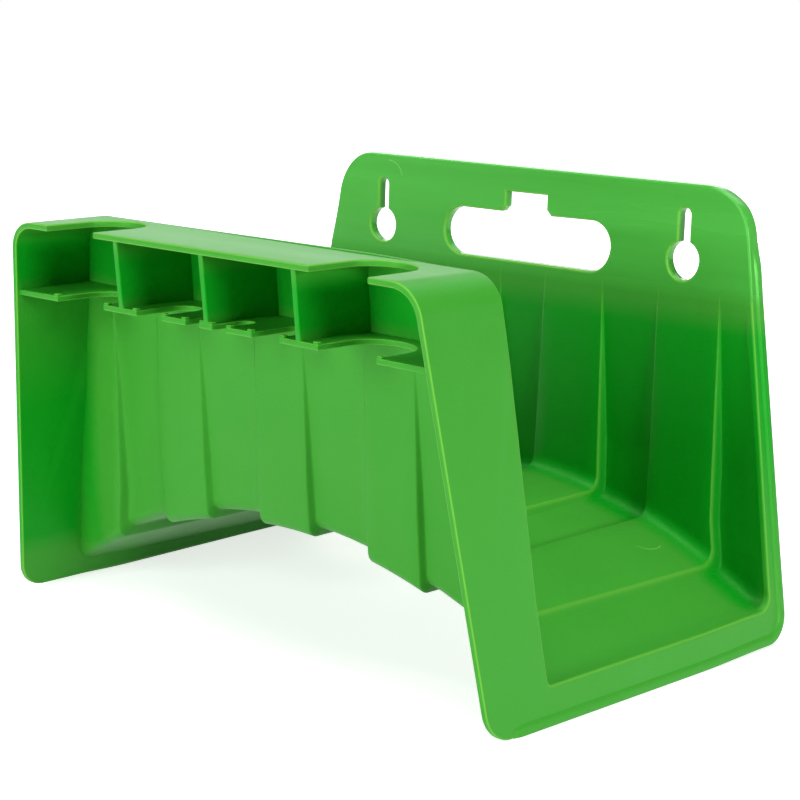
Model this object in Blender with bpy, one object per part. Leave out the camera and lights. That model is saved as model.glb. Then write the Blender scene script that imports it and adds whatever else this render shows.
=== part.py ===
"""Wall hose hanger, a one-piece plastic moulding built from its walls.

A wall plate and a leaning front wall carry an arched saddle between them. A tray of
two shelves and three ribs stands out from the front wall, and a flaring L-shaped
frame closes each side. Bands run down both walls and across the saddle.

Metres, +Z up, +X to the right, +Y towards the wall. The origin lies under the middle
of the part, at the height of its feet.
"""

import math

import bmesh
import bpy
from mathutils import Vector

# Heights above the feet
PLATE_TOP_Z = 0.1808
SHELF_TOP_Z = 0.1616
LOWER_SHELF_Z = 0.133
SADDLE_CROWN_Z = 0.0524
SADDLE_SIDE_Z = 0.0117

# Depths, measured forward from the wall at the height of the feet, and the leans
FRONT_REACH_AT_FEET = 0.1768
FRONT_LEAN = 0.114
TRAY_DEPTH_AT_FEET = 0.0379
FRONT_WALL_LEAN = 0.092
RIM_DEPTH_AT_FEET = 0.0087
FACE_LEAN = 0.0146
TRAY_SETBACK = 0.0018

# Side planes: half the width at the feet beside the wall, and how they narrow
SIDE_HALF_WIDTH = 0.137
SIDE_FLARE = 0.143
SIDE_DRAFT = 0.0264

# Walls
WALL = 0.0025
LOWER_SHELF_THICKNESS = 0.0022
RIB_THICKNESS = 0.0024
SEAM = 0.0003
RIM_EDGE_RADIUS = 0.001
FRAME_EDGE_RADIUS = 0.0005

# Saddle
BACK_FILLET = 0.006
FRONT_FILLET = 0.0025
SEAM_RISE = 0.002
SEAM_ABOVE_FLOOR = 0.01

# Bands: distances of the risers from the middle, low and high beside the wall, and low
# at the front; the outermost riser is placed by the width of the band outside it
INNER_RISERS = ((0.0089, 0.0122, 0.0132), (0.0459, 0.0435, 0.0457), (0.0704, 0.0716, 0.0707))
OUTER_BAND_WIDTH = 0.0233
OUTER_BAND_TOP_WIDTH = 0.0123
BACK_RECESS = 0.0045
FLOOR_RECESS = 0.0036
FRONT_RECESS = 0.0028
FRONT_OUTER_RECESS = 0.0041
RISER_WIDTH = 0.0018
RISER_TIP_WIDTH = 0.0005
BANDS_MEET_Z = 0.045
BANDS_FULL_BELOW_Z = 0.068
BACK_BANDS_DROP = 0.0458
FRONT_BANDS_DROP = 0.034

# Rim of the wall plate
RIM_CORNER_RADIUS = 0.0225
LIP_PROUD = 0.001
LIP_HEIGHT = 0.004
LIP_FULL_DROP = 0.022
LIP_END_DROP = 0.012

# Holes in the wall plate, placed below its top edge
KEYHOLE_DROP = 0.0318
KEYHOLE_HALF_SPACING = 0.083
KEYHOLE_RADIUS = 0.008
KEYHOLE_NECK_WIDTH = 0.0059
KEYHOLE_NECK_TOP = 0.0212
HAND_SLOT_DROP = 0.0299
HAND_SLOT_HALF_LENGTH = 0.046
HAND_SLOT_HEIGHT = 0.0215
HAND_NOTCH_HALF_WIDTH = 0.0115
HAND_NOTCH_DEPTH = 0.0087
HAND_NOTCH_CHAMFER = 0.0024
COLLAR_WALL = 0.002
COLLAR_DEPTH = 0.0045

# Side frames
FOOT_CORNER_RADIUS = 0.012
FRAME_INNER_RADIUS = 0.006
LIP_START = 0.012

# Tray
SHELF_CORNER_RADIUS = 0.013
RIB_SPACING = 0.0486
LARGE_NOTCH = (0.0588, 0.0872, 0.031)
MEDIUM_NOTCH = (0.0248, 0.0392, 0.0265)
SMALL_NOTCH = (0.0036, 0.0111, 0.0185)

# Facets
ARC_STEPS = 6
HOLE_ARC_STEPS = 14
EDGE_STEPS = 3
BAND_STEPS = 3
SEAM_STEPS = 14

GREEN = (0.082, 0.392, 0.045, 1.0)

WALL_Y = (FRONT_REACH_AT_FEET + FRONT_LEAN * SHELF_TOP_Z) / 2
ARCH_HALF_CHORD = SIDE_HALF_WIDTH - SIDE_FLARE * SADDLE_SIDE_Z - WALL
ARCH_RISE = SADDLE_CROWN_Z - SADDLE_SIDE_Z
ARCH_RADIUS = (ARCH_HALF_CHORD**2 + ARCH_RISE**2) / (2 * ARCH_RISE)
KEYHOLE_Z = PLATE_TOP_Z - KEYHOLE_DROP
HAND_SLOT_Z = PLATE_TOP_Z - HAND_SLOT_DROP
BACK_BANDS_END_Z = PLATE_TOP_Z - BACK_BANDS_DROP
FRONT_BANDS_END_Z = SHELF_TOP_Z - FRONT_BANDS_DROP
SIDE_STRETCH = math.sqrt(1 + SIDE_FLARE**2 + SIDE_DRAFT**2)
LEAN_STRETCH = math.sqrt(1 + FRONT_WALL_LEAN**2)


def clear_scene():
    for obj in list(bpy.data.objects):
        bpy.data.objects.remove(obj, do_unlink=True)


def plastic(name):
    """The moulding's green plastic, one material for each wall."""
    material = bpy.data.materials.new(name)
    material.use_nodes = True
    shader = material.node_tree.nodes["Principled BSDF"]
    shader.inputs["Base Color"].default_value = GREEN
    shader.inputs["Roughness"].default_value = 0.38
    shader.inputs["Metallic"].default_value = 0.0
    return material


def add_object(name, bm, dressed=True):
    """Makes an object from a bmesh, with its origin at the middle of its shape.

    An undressed one is a helper that isn't rendered.
    """
    spans = [[vert.co[axis] for vert in bm.verts] for axis in range(3)]
    middle = Vector([(min(span) + max(span)) / 2 for span in spans])
    bmesh.ops.translate(bm, verts=bm.verts, vec=-middle)
    mesh = bpy.data.meshes.new(name)
    bm.to_mesh(mesh)
    bm.free()
    obj = bpy.data.objects.new(name, mesh)
    obj.location = middle
    bpy.context.scene.collection.objects.link(obj)
    if dressed:
        mesh.materials.append(plastic(name))
        mesh.shade_smooth()
        mesh.set_sharp_from_angle(angle=math.radians(35))
    else:
        obj.hide_render = True
        obj.display_type = "WIRE"
    return obj


def sheet(rows, outward):
    """A bmesh grid through rows of points, its faces turned to the side of outward."""
    bm = bmesh.new()
    grid = [[bm.verts.new(point) for point in row] for row in rows]
    for low, high in zip(grid, grid[1:]):
        for k in range(len(low) - 1):
            bm.faces.new((low[k], low[k + 1], high[k + 1], high[k]))
    bm.normal_update()
    total = Vector()
    for face in bm.faces:
        total += face.normal * face.calc_area()
    if total.dot(Vector(outward)) < 0:
        bmesh.ops.reverse_faces(bm, faces=bm.faces)
    return bm


def thicken(obj, thickness):
    """Gives a sheet its wall behind its faces."""
    solid = obj.modifiers.new("wall", "SOLIDIFY")
    solid.thickness = thickness
    solid.offset = -1.0
    solid.use_even_offset = True


def round_edges(obj, radius):
    """Rounds the sharp edges of a closed body."""
    bevel = obj.modifiers.new("edges", "BEVEL")
    bevel.width = radius
    bevel.segments = EDGE_STEPS
    bevel.limit_method = "ANGLE"
    bevel.angle_limit = math.radians(50)
    bevel.harden_normals = False


def prism(outline, push):
    """A bmesh prism: the outline's face, extruded by the vector push."""
    bm = bmesh.new()
    face = bm.faces.new([bm.verts.new(point) for point in outline])
    swept = bmesh.ops.extrude_face_region(bm, geom=[face])
    moved = [item for item in swept["geom"] if isinstance(item, bmesh.types.BMVert)]
    bmesh.ops.translate(bm, verts=moved, vec=push)
    bmesh.ops.recalc_face_normals(bm, faces=bm.faces)
    return bm


def helper(name, bodies):
    """One undressed object from several bmeshes."""
    whole = bmesh.new()
    for body in bodies:
        mesh = bpy.data.meshes.new(name)
        body.to_mesh(mesh)
        body.free()
        whole.from_mesh(mesh)
        bpy.data.meshes.remove(mesh)
    return add_object(name, whole, dressed=False)


def combine(obj, other, operation):
    boolean = obj.modifiers.new(operation.lower(), "BOOLEAN")
    boolean.operation = operation
    boolean.solver = "EXACT"
    boolean.object = other


def arc(centre, radius, start, end, steps):
    """Points of an arc in a plane, both ends included; the angles are in radians."""
    turns = [start + (end - start) * k / steps for k in range(steps + 1)]
    return [(centre[0] + radius * math.cos(t), centre[1] + radius * math.sin(t)) for t in turns]


def rounded(corners, steps=ARC_STEPS):
    """A closed outline from (u, v, radius) corners, each turned into an arc."""
    outline = []
    count = len(corners)
    for k, (u, v, radius) in enumerate(corners):
        corner = Vector((u, v))
        if radius <= 0:
            outline.append((u, v))
            continue
        before = (Vector(corners[k - 1][:2]) - corner).normalized()
        after = (Vector(corners[(k + 1) % count][:2]) - corner).normalized()
        half = before.angle(after) / 2
        centre = corner + (before + after).normalized() * radius / math.sin(half)
        first = corner + before * radius / math.tan(half) - centre
        last = corner + after * radius / math.tan(half) - centre
        start = math.atan2(first.y, first.x)
        sweep = (math.atan2(last.y, last.x) - start + math.pi) % (2 * math.pi) - math.pi
        outline += arc(centre, radius, start, start + sweep, steps)
    return outline


def side_x(y, z):
    """Half the part's outer width at a depth and height."""
    return SIDE_HALF_WIDTH - SIDE_FLARE * z - SIDE_DRAFT * (WALL_Y - y)


def front_y(z):
    """The leaning plane of the strips' and the top shelf's front edges."""
    return WALL_Y - FRONT_REACH_AT_FEET - FRONT_LEAN * z


def tray_front_y(z):
    """The plane of the ribs' and the lower shelf's front edges."""
    return front_y(z) + TRAY_SETBACK


def trough_y(z):
    """The front wall's face on the trough's side, where it isn't recessed."""
    return front_y(0.0) + TRAY_DEPTH_AT_FEET - FRONT_WALL_LEAN * z


def tray_back_y(z):
    """The front wall's face in the tray, less the seam."""
    return trough_y(z) - WALL * LEAN_STRETCH - SEAM


def face_y(z):
    """The wall plate's face, where it isn't recessed."""
    return WALL_Y - RIM_DEPTH_AT_FEET + FACE_LEAN * z


def arch_z(x):
    """Height of the saddle's top face, where it isn't recessed."""
    return SADDLE_CROWN_Z - ARCH_RADIUS + math.sqrt(ARCH_RADIUS**2 - x**2)


def seam_z(x):
    """Height at which the saddle's turned-up edges meet the two walls."""
    return arch_z(x) + SEAM_ABOVE_FLOOR


def side_seam_z():
    """Height at which the side frames end below the plate's rim."""
    z = 0.0
    for _ in range(8):
        z = seam_z(side_x(WALL_Y, z) - WALL)
    return z


def share(z, full, none):
    """1 at or below the height full, 0 at or above the height none."""
    return min(1.0, max(0.0, (none - z) / (none - full)))


def riser_places(z, half_width, front):
    """Distances of the four risers from the middle, beside the wall or at the front."""
    low = share(z, BANDS_MEET_Z, BACK_BANDS_END_Z)
    places = []
    for back_low, back_high, front_low in INNER_RISERS:
        places.append(front_low if front else back_high + (back_low - back_high) * low)
    band = OUTER_BAND_TOP_WIDTH + (OUTER_BAND_WIDTH - OUTER_BAND_TOP_WIDTH) * low
    return places + [half_width - band]


def columns(places, limit, fade):
    """(x, recess) stations from -limit to limit, with two at each riser.

    The middle band is recessed, and each riser changes the recess between 0 and 1.
    A riser narrows to its tip as the bands fade out.
    """
    width = RISER_TIP_WIDTH + (RISER_WIDTH - RISER_TIP_WIDTH) * fade
    start, recess = 0.0, 1.0
    half = [(0.0, recess)]
    for place in places + [None]:
        stop = limit if place is None else place - width / 2
        half += [(start + (stop - start) * k / BAND_STEPS, recess) for k in range(1, BAND_STEPS + 1)]
        if place is not None:
            recess = 1.0 - recess
            start = stop + width
            half.append((start, recess))
    return [(-x, r) for x, r in reversed(half[1:])] + half


def front_recess(x, recess, z, outer):
    """How far the front wall's face stands back into its recess at a station."""
    if abs(x) > outer:
        return recess * FRONT_OUTER_RECESS * share(z, BANDS_MEET_Z, FRONT_BANDS_END_Z)
    return recess * FRONT_RECESS * share(z, BANDS_FULL_BELOW_Z, FRONT_BANDS_END_Z)


def rim_arc_centre():
    """Centre of the plate outline's right upper corner, in X and Z."""
    z = PLATE_TOP_Z - RIM_CORNER_RADIUS
    reach = SIDE_HALF_WIDTH - SIDE_FLARE * z
    return reach - RIM_CORNER_RADIUS * math.sqrt(1 + SIDE_FLARE**2), z


def plate_half_width(z, inset):
    """Half the width of the plate's outline at a height, drawn in by inset."""
    centre_x, centre_z = rim_arc_centre()
    if z > centre_z + (RIM_CORNER_RADIUS - inset) * math.sin(math.atan(SIDE_FLARE)):
        radius = RIM_CORNER_RADIUS - inset
        return centre_x + math.sqrt(max(0.0, radius**2 - (z - centre_z) ** 2))
    return SIDE_HALF_WIDTH - SIDE_FLARE * z - inset * math.sqrt(1 + SIDE_FLARE**2)


def hand_slot_outline(grow):
    """The hand slot with its notch, in X and Z, widened by grow."""
    radius = HAND_SLOT_HEIGHT / 2 + grow
    end_x = HAND_SLOT_HALF_LENGTH - HAND_SLOT_HEIGHT / 2
    top = HAND_SLOT_Z + radius
    notch_x = HAND_NOTCH_HALF_WIDTH + grow
    chamfer = HAND_NOTCH_CHAMFER
    quarter = math.pi / 2
    right = arc((end_x, HAND_SLOT_Z), radius, -quarter, quarter, HOLE_ARC_STEPS)
    left = arc((-end_x, HAND_SLOT_Z), radius, quarter, 3 * quarter, HOLE_ARC_STEPS)
    notch = [
        (notch_x + chamfer, top),
        (notch_x, top + chamfer),
        (notch_x, top + HAND_NOTCH_DEPTH),
    ]
    return right + notch + [(-x, z) for x, z in reversed(notch)] + left


def keyhole_outline(side, grow):
    """A keyhole in X and Z: a round hole with a narrower neck above it."""
    radius = KEYHOLE_RADIUS + grow
    neck = KEYHOLE_NECK_WIDTH / 2 + grow
    opening = math.acos(neck / radius)
    centre = (side * KEYHOLE_HALF_SPACING, KEYHOLE_Z)
    top = (centre[0], KEYHOLE_Z + KEYHOLE_NECK_TOP - KEYHOLE_NECK_WIDTH / 2)
    bowl = arc(centre, radius, math.pi - opening, 2 * math.pi + opening, 2 * HOLE_ARC_STEPS)
    return bowl + arc(top, neck, 0.0, math.pi, ARC_STEPS)


def plate_prisms(name, grow, front, depth):
    """The outlines of the plate's three holes as prisms, joined into one helper."""
    outlines = [hand_slot_outline(grow), keyhole_outline(-1, grow), keyhole_outline(1, grow)]
    push = Vector((0, depth, 0))
    return helper(name, [prism([(x, front, z) for x, z in outline], push) for outline in outlines])


def build_back_plate(below_seam):
    """The plate's face: banded below, flat above, inside the rim."""
    inset = WALL + SEAM
    centre_z = rim_arc_centre()[1]
    radius = RIM_CORNER_RADIUS - inset
    tilt = math.atan(SIDE_FLARE)
    turns = [tilt + (math.pi / 2 - tilt) * k / ARC_STEPS for k in range(ARC_STEPS + 1)]
    heights = [side_seam_z() - SEAM_RISE, BANDS_FULL_BELOW_Z]
    heights += [(BANDS_FULL_BELOW_Z + BACK_BANDS_END_Z) / 2, BACK_BANDS_END_Z]
    heights += [(BACK_BANDS_END_Z + centre_z) / 2]
    heights += [centre_z + radius * math.sin(turn) for turn in turns]
    widest = plate_half_width(BACK_BANDS_END_Z, inset)
    flat = columns(riser_places(BACK_BANDS_END_Z, widest, False), widest, 0.0)
    rows = []
    for z in heights:
        fade = share(z, BANDS_FULL_BELOW_Z, BACK_BANDS_END_Z)
        half = plate_half_width(z, inset)
        stations = columns(riser_places(z, half, False), half, fade)
        if z > BACK_BANDS_END_Z:
            stations = [(x * half / widest, recess) for x, recess in flat]
        rows.append([(x, face_y(z) + recess * fade * BACK_RECESS, z) for x, recess in stations])
    foot = rows[0]
    rows[0] = [(x, y, seam_z(x) - SEAM_RISE) for x, y, _ in foot]
    plate = add_object("back_plate", sheet(rows, (0, -1, 0)))
    thicken(plate, WALL)
    middle = face_y(HAND_SLOT_Z)
    collars = plate_prisms("hole_collars", COLLAR_WALL, middle + WALL / 2, COLLAR_DEPTH)
    holes = plate_prisms("hole_cutter", 0.0, middle - RIM_DEPTH_AT_FEET, 3 * RIM_DEPTH_AT_FEET)
    combine(plate, below_seam, "DIFFERENCE")
    combine(plate, collars, "UNION")
    combine(plate, holes, "DIFFERENCE")


def lip_proud(z):
    """How far the lip stands out at a height: it runs out below the top corners."""
    return LIP_PROUD * share(z, PLATE_TOP_Z - LIP_FULL_DROP, PLATE_TOP_Z - LIP_END_DROP)


def rim_path(inset):
    """The plate's outline in X and Z from the right foot of the rim over the top."""
    centre = rim_arc_centre()
    tilt = math.atan(SIDE_FLARE)
    foot_z = side_seam_z() + SEAM
    corner = arc(centre, RIM_CORNER_RADIUS - inset, tilt, math.pi / 2, 2 * ARC_STEPS)
    straight = [PLATE_TOP_Z - LIP_FULL_DROP] if PLATE_TOP_Z - LIP_FULL_DROP < corner[0][1] else []
    right = [(plate_half_width(z, inset), z) for z in [foot_z] + straight] + corner
    return right + [(-x, z) for x, z in reversed(right)]


def build_plate_rim():
    """The rim that turns back to the wall, stepped out into a lip half-way."""
    quarter = math.pi / 2
    edge = arc((RIM_EDGE_RADIUS, RIM_EDGE_RADIUS), RIM_EDGE_RADIUS, -quarter, -2 * quarter, EDGE_STEPS)
    section = [(WALL, 0.0, 0.0, 0.0)]
    section += [(inset, back, 0.0, 0.0) for inset, back in edge]
    section += [(0.0, 0.0, 0.5, 0.0), (0.0, 0.0, 0.6, 1.0), (0.0, 0.0, 1.0, 1.0), (WALL, 0.0, 1.0, 0.0)]
    rings = []
    for inset, back, share_back, proud in section:
        ring = []
        for x, z in rim_path(inset):
            front = face_y(z)
            out = math.copysign(proud * lip_proud(z), x)
            ring.append((x + out, front + back + (WALL_Y - front) * share_back, z))
        rings.append(ring)
    bm = bmesh.new()
    grid = [[bm.verts.new(point) for point in ring] for ring in rings]
    for k, near in enumerate(grid):
        far = grid[(k + 1) % len(grid)]
        for j in range(len(near) - 1):
            bm.faces.new((near[j], near[j + 1], far[j + 1], far[j]))
    bm.faces.new([ring[0] for ring in grid])
    bm.faces.new([ring[-1] for ring in grid])
    bmesh.ops.recalc_face_normals(bm, faces=bm.faces)
    add_object("plate_rim", bm)


def trough_profile(back, front, recess, outer):
    """The trough's section at a station, from the plate down, across and up again.

    back and front are the station's distances from the middle at the two walls.
    """
    quarter = math.pi / 2
    slant = math.atan(FRONT_WALL_LEAN)
    top = seam_z(back) + SEAM_RISE
    floor = arch_z(back) - recess * FLOOR_RECESS
    rise = floor + BACK_FILLET
    wall = face_y(rise) + recess * BACK_RECESS
    points = [(back, face_y(top) + recess * BACK_RECESS, top)]
    for y, z in arc((wall - BACK_FILLET, rise), BACK_FILLET, 0.0, -quarter, ARC_STEPS):
        points.append((back, y, z))
    floor = arch_z(front) - recess * FLOOR_RECESS
    rise = floor + FRONT_FILLET
    wall = trough_y(rise) - front_recess(front, recess, rise, outer)
    centre = (wall + FRONT_FILLET * LEAN_STRETCH, rise)
    for y, z in arc(centre, FRONT_FILLET, -quarter, slant - 2 * quarter, ARC_STEPS):
        points.append((front, y, z))
    top = seam_z(front) + SEAM_RISE
    points.append((front, trough_y(top) - front_recess(front, recess, top, outer), top))
    return points


def low_stations(limit, front):
    """The stations across the foot of one of the walls, and its outermost riser."""
    y = trough_y(0.0) if front else WALL_Y
    half = side_x(y, side_seam_z()) - WALL - SEAM
    places = riser_places(0.0, half, front)
    return columns(places, limit, 1.0), places[-1]


def build_saddle(side_cutters, above_seam):
    backs, _ = low_stations(SIDE_HALF_WIDTH, False)
    fronts, outer = low_stations(SIDE_HALF_WIDTH, True)
    rows = []
    for (back, recess), (front, _) in zip(backs, fronts):
        rows.append(trough_profile(back, front, recess, outer))
    saddle = add_object("saddle", sheet(rows, (0, 0, 1)))
    thicken(saddle, WALL)
    combine(saddle, side_cutters, "DIFFERENCE")
    combine(saddle, above_seam, "DIFFERENCE")


def build_front_wall(cutters):
    top = SHELF_TOP_Z - WALL - SEAM
    stations, outer = low_stations(SIDE_HALF_WIDTH, True)
    rows = [[]]
    for x, recess in stations:
        foot = seam_z(x) - SEAM_RISE
        rows[0].append((x, trough_y(foot) - front_recess(x, recess, foot, outer), foot))
    middle = (BANDS_FULL_BELOW_Z + FRONT_BANDS_END_Z) / 2
    for z in (BANDS_FULL_BELOW_Z, middle, FRONT_BANDS_END_Z, top):
        half = side_x(trough_y(z), z) - WALL - SEAM
        places = riser_places(z, half, True)
        fade = share(z, BANDS_FULL_BELOW_Z, FRONT_BANDS_END_Z)
        row = []
        for x, recess in columns(places, SIDE_HALF_WIDTH, fade):
            row.append((x, trough_y(z) - front_recess(x, recess, z, places[-1]), z))
        rows.append(row)
    wall = add_object("front_wall", sheet(rows, (0, 1, 0)))
    thicken(wall, WALL)
    for cutter in cutters:
        combine(wall, cutter, "DIFFERENCE")


def build_seam_cutter(name, gap, far_z):
    """A prism with an arched face along the seam, reaching up or down to far_z."""
    reach = 2 * SIDE_HALF_WIDTH
    curve = [SIDE_HALF_WIDTH * k / SEAM_STEPS for k in range(-SEAM_STEPS, SEAM_STEPS + 1)]
    outline = [(x, WALL_Y - reach, seam_z(x) + gap) for x in curve]
    outline += [(SIDE_HALF_WIDTH, WALL_Y - reach, far_z), (-SIDE_HALF_WIDTH, WALL_Y - reach, far_z)]
    return add_object(name, prism(outline, Vector((0, 2 * reach, 0))), dressed=False)


def build_side_cutters():
    """Two slabs whose inner faces lie a seam inside the side frames."""
    reach = 0.05
    front, back = front_y(0.0) - reach, WALL_Y + reach
    low, high = -reach, PLATE_TOP_Z + reach
    inner = WALL * SIDE_STRETCH + SEAM
    slabs = []
    for side in (-1, 1):
        corners = [(front, low), (back, low), (back, high), (front, high)]
        outline = [(side * (side_x(y, z) - inner), y, z) for y, z in corners]
        slabs.append(prism(outline, Vector((side * reach, 0, 0))))
    return helper("side_cutter", slabs)


def build_corner_cutters():
    """Two prisms that round the front wall's upper corners inside the top shelf."""
    tilt = math.atan(SIDE_FLARE)
    centre_z = SHELF_TOP_Z - SHELF_CORNER_RADIUS
    wall_y = trough_y(SHELF_TOP_Z)
    centre_x = side_x(wall_y, centre_z) - SHELF_CORNER_RADIUS * math.sqrt(1 + SIDE_FLARE**2)
    radius = SHELF_CORNER_RADIUS - WALL - SEAM
    curve = arc((centre_x, centre_z), radius, tilt, math.pi / 2, ARC_STEPS)
    curve += [(centre_x, PLATE_TOP_Z), (SIDE_HALF_WIDTH, PLATE_TOP_Z), (SIDE_HALF_WIDTH, curve[0][1])]
    front = wall_y - SHELF_CORNER_RADIUS
    corners = []
    for side in (-1, 1):
        outline = [(side * x, front, z) for x, z in curve]
        corners.append(prism(outline, Vector((0, 2 * SHELF_CORNER_RADIUS, 0))))
    return helper("corner_cutter", corners)


def frame_top_z():
    """Height at which a side frame meets the top shelf's turned-down end."""
    centre_z = SHELF_TOP_Z - SHELF_CORNER_RADIUS
    return centre_z + SHELF_CORNER_RADIUS * math.sin(math.atan(SIDE_FLARE))


def strip_back_y(z):
    """The back edge of the front strip, flush with the outermost recessed band."""
    return trough_y(z) - front_recess(SIDE_HALF_WIDTH, 1.0, z, 0.0)


def build_side_frame(name, side):
    """The front strip and the foot band in one L, with a lip along the foot."""
    top = frame_top_z() - SEAM - SIDE_FLARE * WALL
    seam = side_seam_z()
    band_z = 0.0
    for _ in range(8):
        band_z = arch_z(side_x(WALL_Y, band_z) - WALL)
    outline = rounded(
        [
            (front_y(top), top, 0.0),
            (front_y(0.0), 0.0, FOOT_CORNER_RADIUS),
            (WALL_Y, 0.0, FOOT_CORNER_RADIUS),
            (WALL_Y, seam, 0.0),
            (face_y(seam), seam, 0.0),
            (face_y(band_z), band_z, BACK_FILLET),
            (strip_back_y(band_z), band_z, FRAME_INNER_RADIUS),
            (strip_back_y(BANDS_MEET_Z), BANDS_MEET_Z, 0.0),
            (strip_back_y(top), top, 0.0),
        ]
    )
    points = [(side * side_x(y, z), y, z) for y, z in outline]
    frame = add_object(name, prism(points, Vector((-side * WALL * SIDE_STRETCH, 0, 0))))
    round_edges(frame, FRAME_EDGE_RADIUS)
    start = front_y(0.0) + LIP_START
    middle = (face_y(LIP_HEIGHT) + WALL_Y) / 2
    lip = rounded(
        [
            (start, 0.0, 0.0),
            (WALL_Y, 0.0, FOOT_CORNER_RADIUS),
            (WALL_Y, seam, 0.0),
            (middle, seam, 0.0),
            (middle, LIP_HEIGHT, FOOT_CORNER_RADIUS - LIP_HEIGHT),
            (start + LIP_HEIGHT, LIP_HEIGHT, 0.0),
        ]
    )
    points = [(side * (side_x(y, z) + LIP_PROUD), y, z) for y, z in lip]
    strip = add_object(name + "_lip", prism(points, Vector((-side * WALL, 0, 0))), dressed=False)
    combine(frame, strip, "UNION")


def notch_prisms(span, z_low, z_high):
    """A U-shaped notch on each side, open at the front, as prisms between two heights."""
    inner, outer, depth = span
    radius = (outer - inner) / 2
    front = front_y(z_high)
    end = front_y(LOWER_SHELF_Z) + depth - radius
    outline = [(inner, front), (outer, front)]
    outline += arc(((outer + inner) / 2, end), radius, 0.0, math.pi, HOLE_ARC_STEPS)
    push = Vector((0, 0, z_high - z_low))
    return [prism([(side * x, y, z_low) for x, y in outline], push) for side in (-1, 1)]


def shelf_section(edge_y):
    """The top shelf's outer face from its right end over the top to its left end."""
    radius = SHELF_CORNER_RADIUS
    centre_z = SHELF_TOP_Z - radius
    tilt = math.atan(SIDE_FLARE)
    half = []
    for k in range(ARC_STEPS + 1):
        turn = tilt + (math.pi / 2 - tilt) * k / ARC_STEPS
        z = centre_z + radius * math.sin(turn)
        y = edge_y(z)
        centre_x = side_x(y, centre_z) - radius * math.sqrt(1 + SIDE_FLARE**2)
        half.append((centre_x + radius * math.cos(turn), y, z))
    return half + [(-x, y, z) for x, y, z in reversed(half)]


def build_top_shelf(cutter):
    shelf = add_object("top_shelf", sheet([shelf_section(front_y), shelf_section(trough_y)], (0, 0, 1)))
    thicken(shelf, WALL)
    round_edges(shelf, FRAME_EDGE_RADIUS)
    combine(shelf, cutter, "DIFFERENCE")


def build_lower_shelf(side_cutters, notches):
    low = LOWER_SHELF_Z - LOWER_SHELF_THICKNESS
    front, back = tray_front_y(LOWER_SHELF_Z), tray_back_y(LOWER_SHELF_Z)
    half = SIDE_HALF_WIDTH
    outline = [(-half, front, low), (half, front, low), (half, back, low), (-half, back, low)]
    shelf = add_object("lower_shelf", prism(outline, Vector((0, 0, LOWER_SHELF_THICKNESS))))
    combine(shelf, side_cutters, "DIFFERENCE")
    for cutter in notches:
        combine(shelf, cutter, "DIFFERENCE")


def build_rib(name, centre_x):
    """An upright rib between the shelves, its edges along the tray's two planes."""
    low, high = LOWER_SHELF_Z + SEAM, SHELF_TOP_Z - WALL - SEAM
    left = centre_x - RIB_THICKNESS / 2
    outline = [
        (left, tray_front_y(low), low),
        (left, tray_back_y(low), low),
        (left, tray_back_y(high), high),
        (left, tray_front_y(high), high),
    ]
    add_object(name, prism(outline, Vector((RIB_THICKNESS, 0, 0))))


def main():
    clear_scene()
    side_cutters = build_side_cutters()
    above_seam = build_seam_cutter("above_seam_cutter", 0.0, PLATE_TOP_Z)
    below_seam = build_seam_cutter("below_seam_cutter", SEAM, -PLATE_TOP_Z)
    below, above = LOWER_SHELF_Z - 2 * WALL, SHELF_TOP_Z + 2 * WALL
    between = (LOWER_SHELF_Z + SHELF_TOP_Z) / 2
    large = helper("large_notch_cutter", notch_prisms(LARGE_NOTCH, below, above))
    small = notch_prisms(MEDIUM_NOTCH, below, between) + notch_prisms(SMALL_NOTCH, below, between)
    small = helper("small_notch_cutter", small)
    build_back_plate(below_seam)
    build_plate_rim()
    build_saddle(side_cutters, above_seam)
    build_front_wall([side_cutters, below_seam, build_corner_cutters()])
    build_side_frame("side_frame_left", -1)
    build_side_frame("side_frame_right", 1)
    build_top_shelf(large)
    build_lower_shelf(side_cutters, [large, small])
    build_rib("partition_left", -RIB_SPACING)
    build_rib("partition_centre", 0.0)
    build_rib("partition_right", RIB_SPACING)


main()
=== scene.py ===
"""Looks of a wall hose hanger: one green plastic moulding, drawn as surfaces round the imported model.

Sizes are in millimetres in the part's own frame: +X to the right, +Y towards the wall and +Z up,
with the origin under the middle of the part at the height of its feet. Meshes are written in metres.
"""

import logging
import math
from collections.abc import Callable, Sequence
from dataclasses import dataclass
from enum import Enum
from functools import cached_property, partial

import bmesh
import bpy
import numpy as np
from mathutils import Matrix, Vector
from mathutils.geometry import tessellate_polygon


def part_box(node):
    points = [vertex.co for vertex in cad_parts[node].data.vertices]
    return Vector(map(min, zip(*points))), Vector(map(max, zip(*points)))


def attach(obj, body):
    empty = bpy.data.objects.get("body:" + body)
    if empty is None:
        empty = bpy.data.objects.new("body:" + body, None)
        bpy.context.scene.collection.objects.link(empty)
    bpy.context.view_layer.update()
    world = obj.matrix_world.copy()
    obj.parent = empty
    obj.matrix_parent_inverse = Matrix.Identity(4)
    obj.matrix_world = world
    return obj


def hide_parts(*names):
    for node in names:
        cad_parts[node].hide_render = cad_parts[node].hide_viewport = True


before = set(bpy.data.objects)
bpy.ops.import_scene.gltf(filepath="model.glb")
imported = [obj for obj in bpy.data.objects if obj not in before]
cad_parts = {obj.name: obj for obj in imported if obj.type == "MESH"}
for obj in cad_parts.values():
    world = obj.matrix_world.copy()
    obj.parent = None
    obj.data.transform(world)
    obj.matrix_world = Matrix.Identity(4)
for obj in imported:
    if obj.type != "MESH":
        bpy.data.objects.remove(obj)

LOG = logging.getLogger("hose_hanger")
MM = 0.001  # one millimetre in metres
QUARTER = math.pi / 2
MERGE = 2e-6  # points closer than this, in metres, become one
STRIP = 0.35  # millimetres of flat face kept beside a rounded edge
MIRROR = np.array([-1.0, 1.0])  # turns plane points over to the other side
Array = np.ndarray
Material = bpy.types.Material
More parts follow.
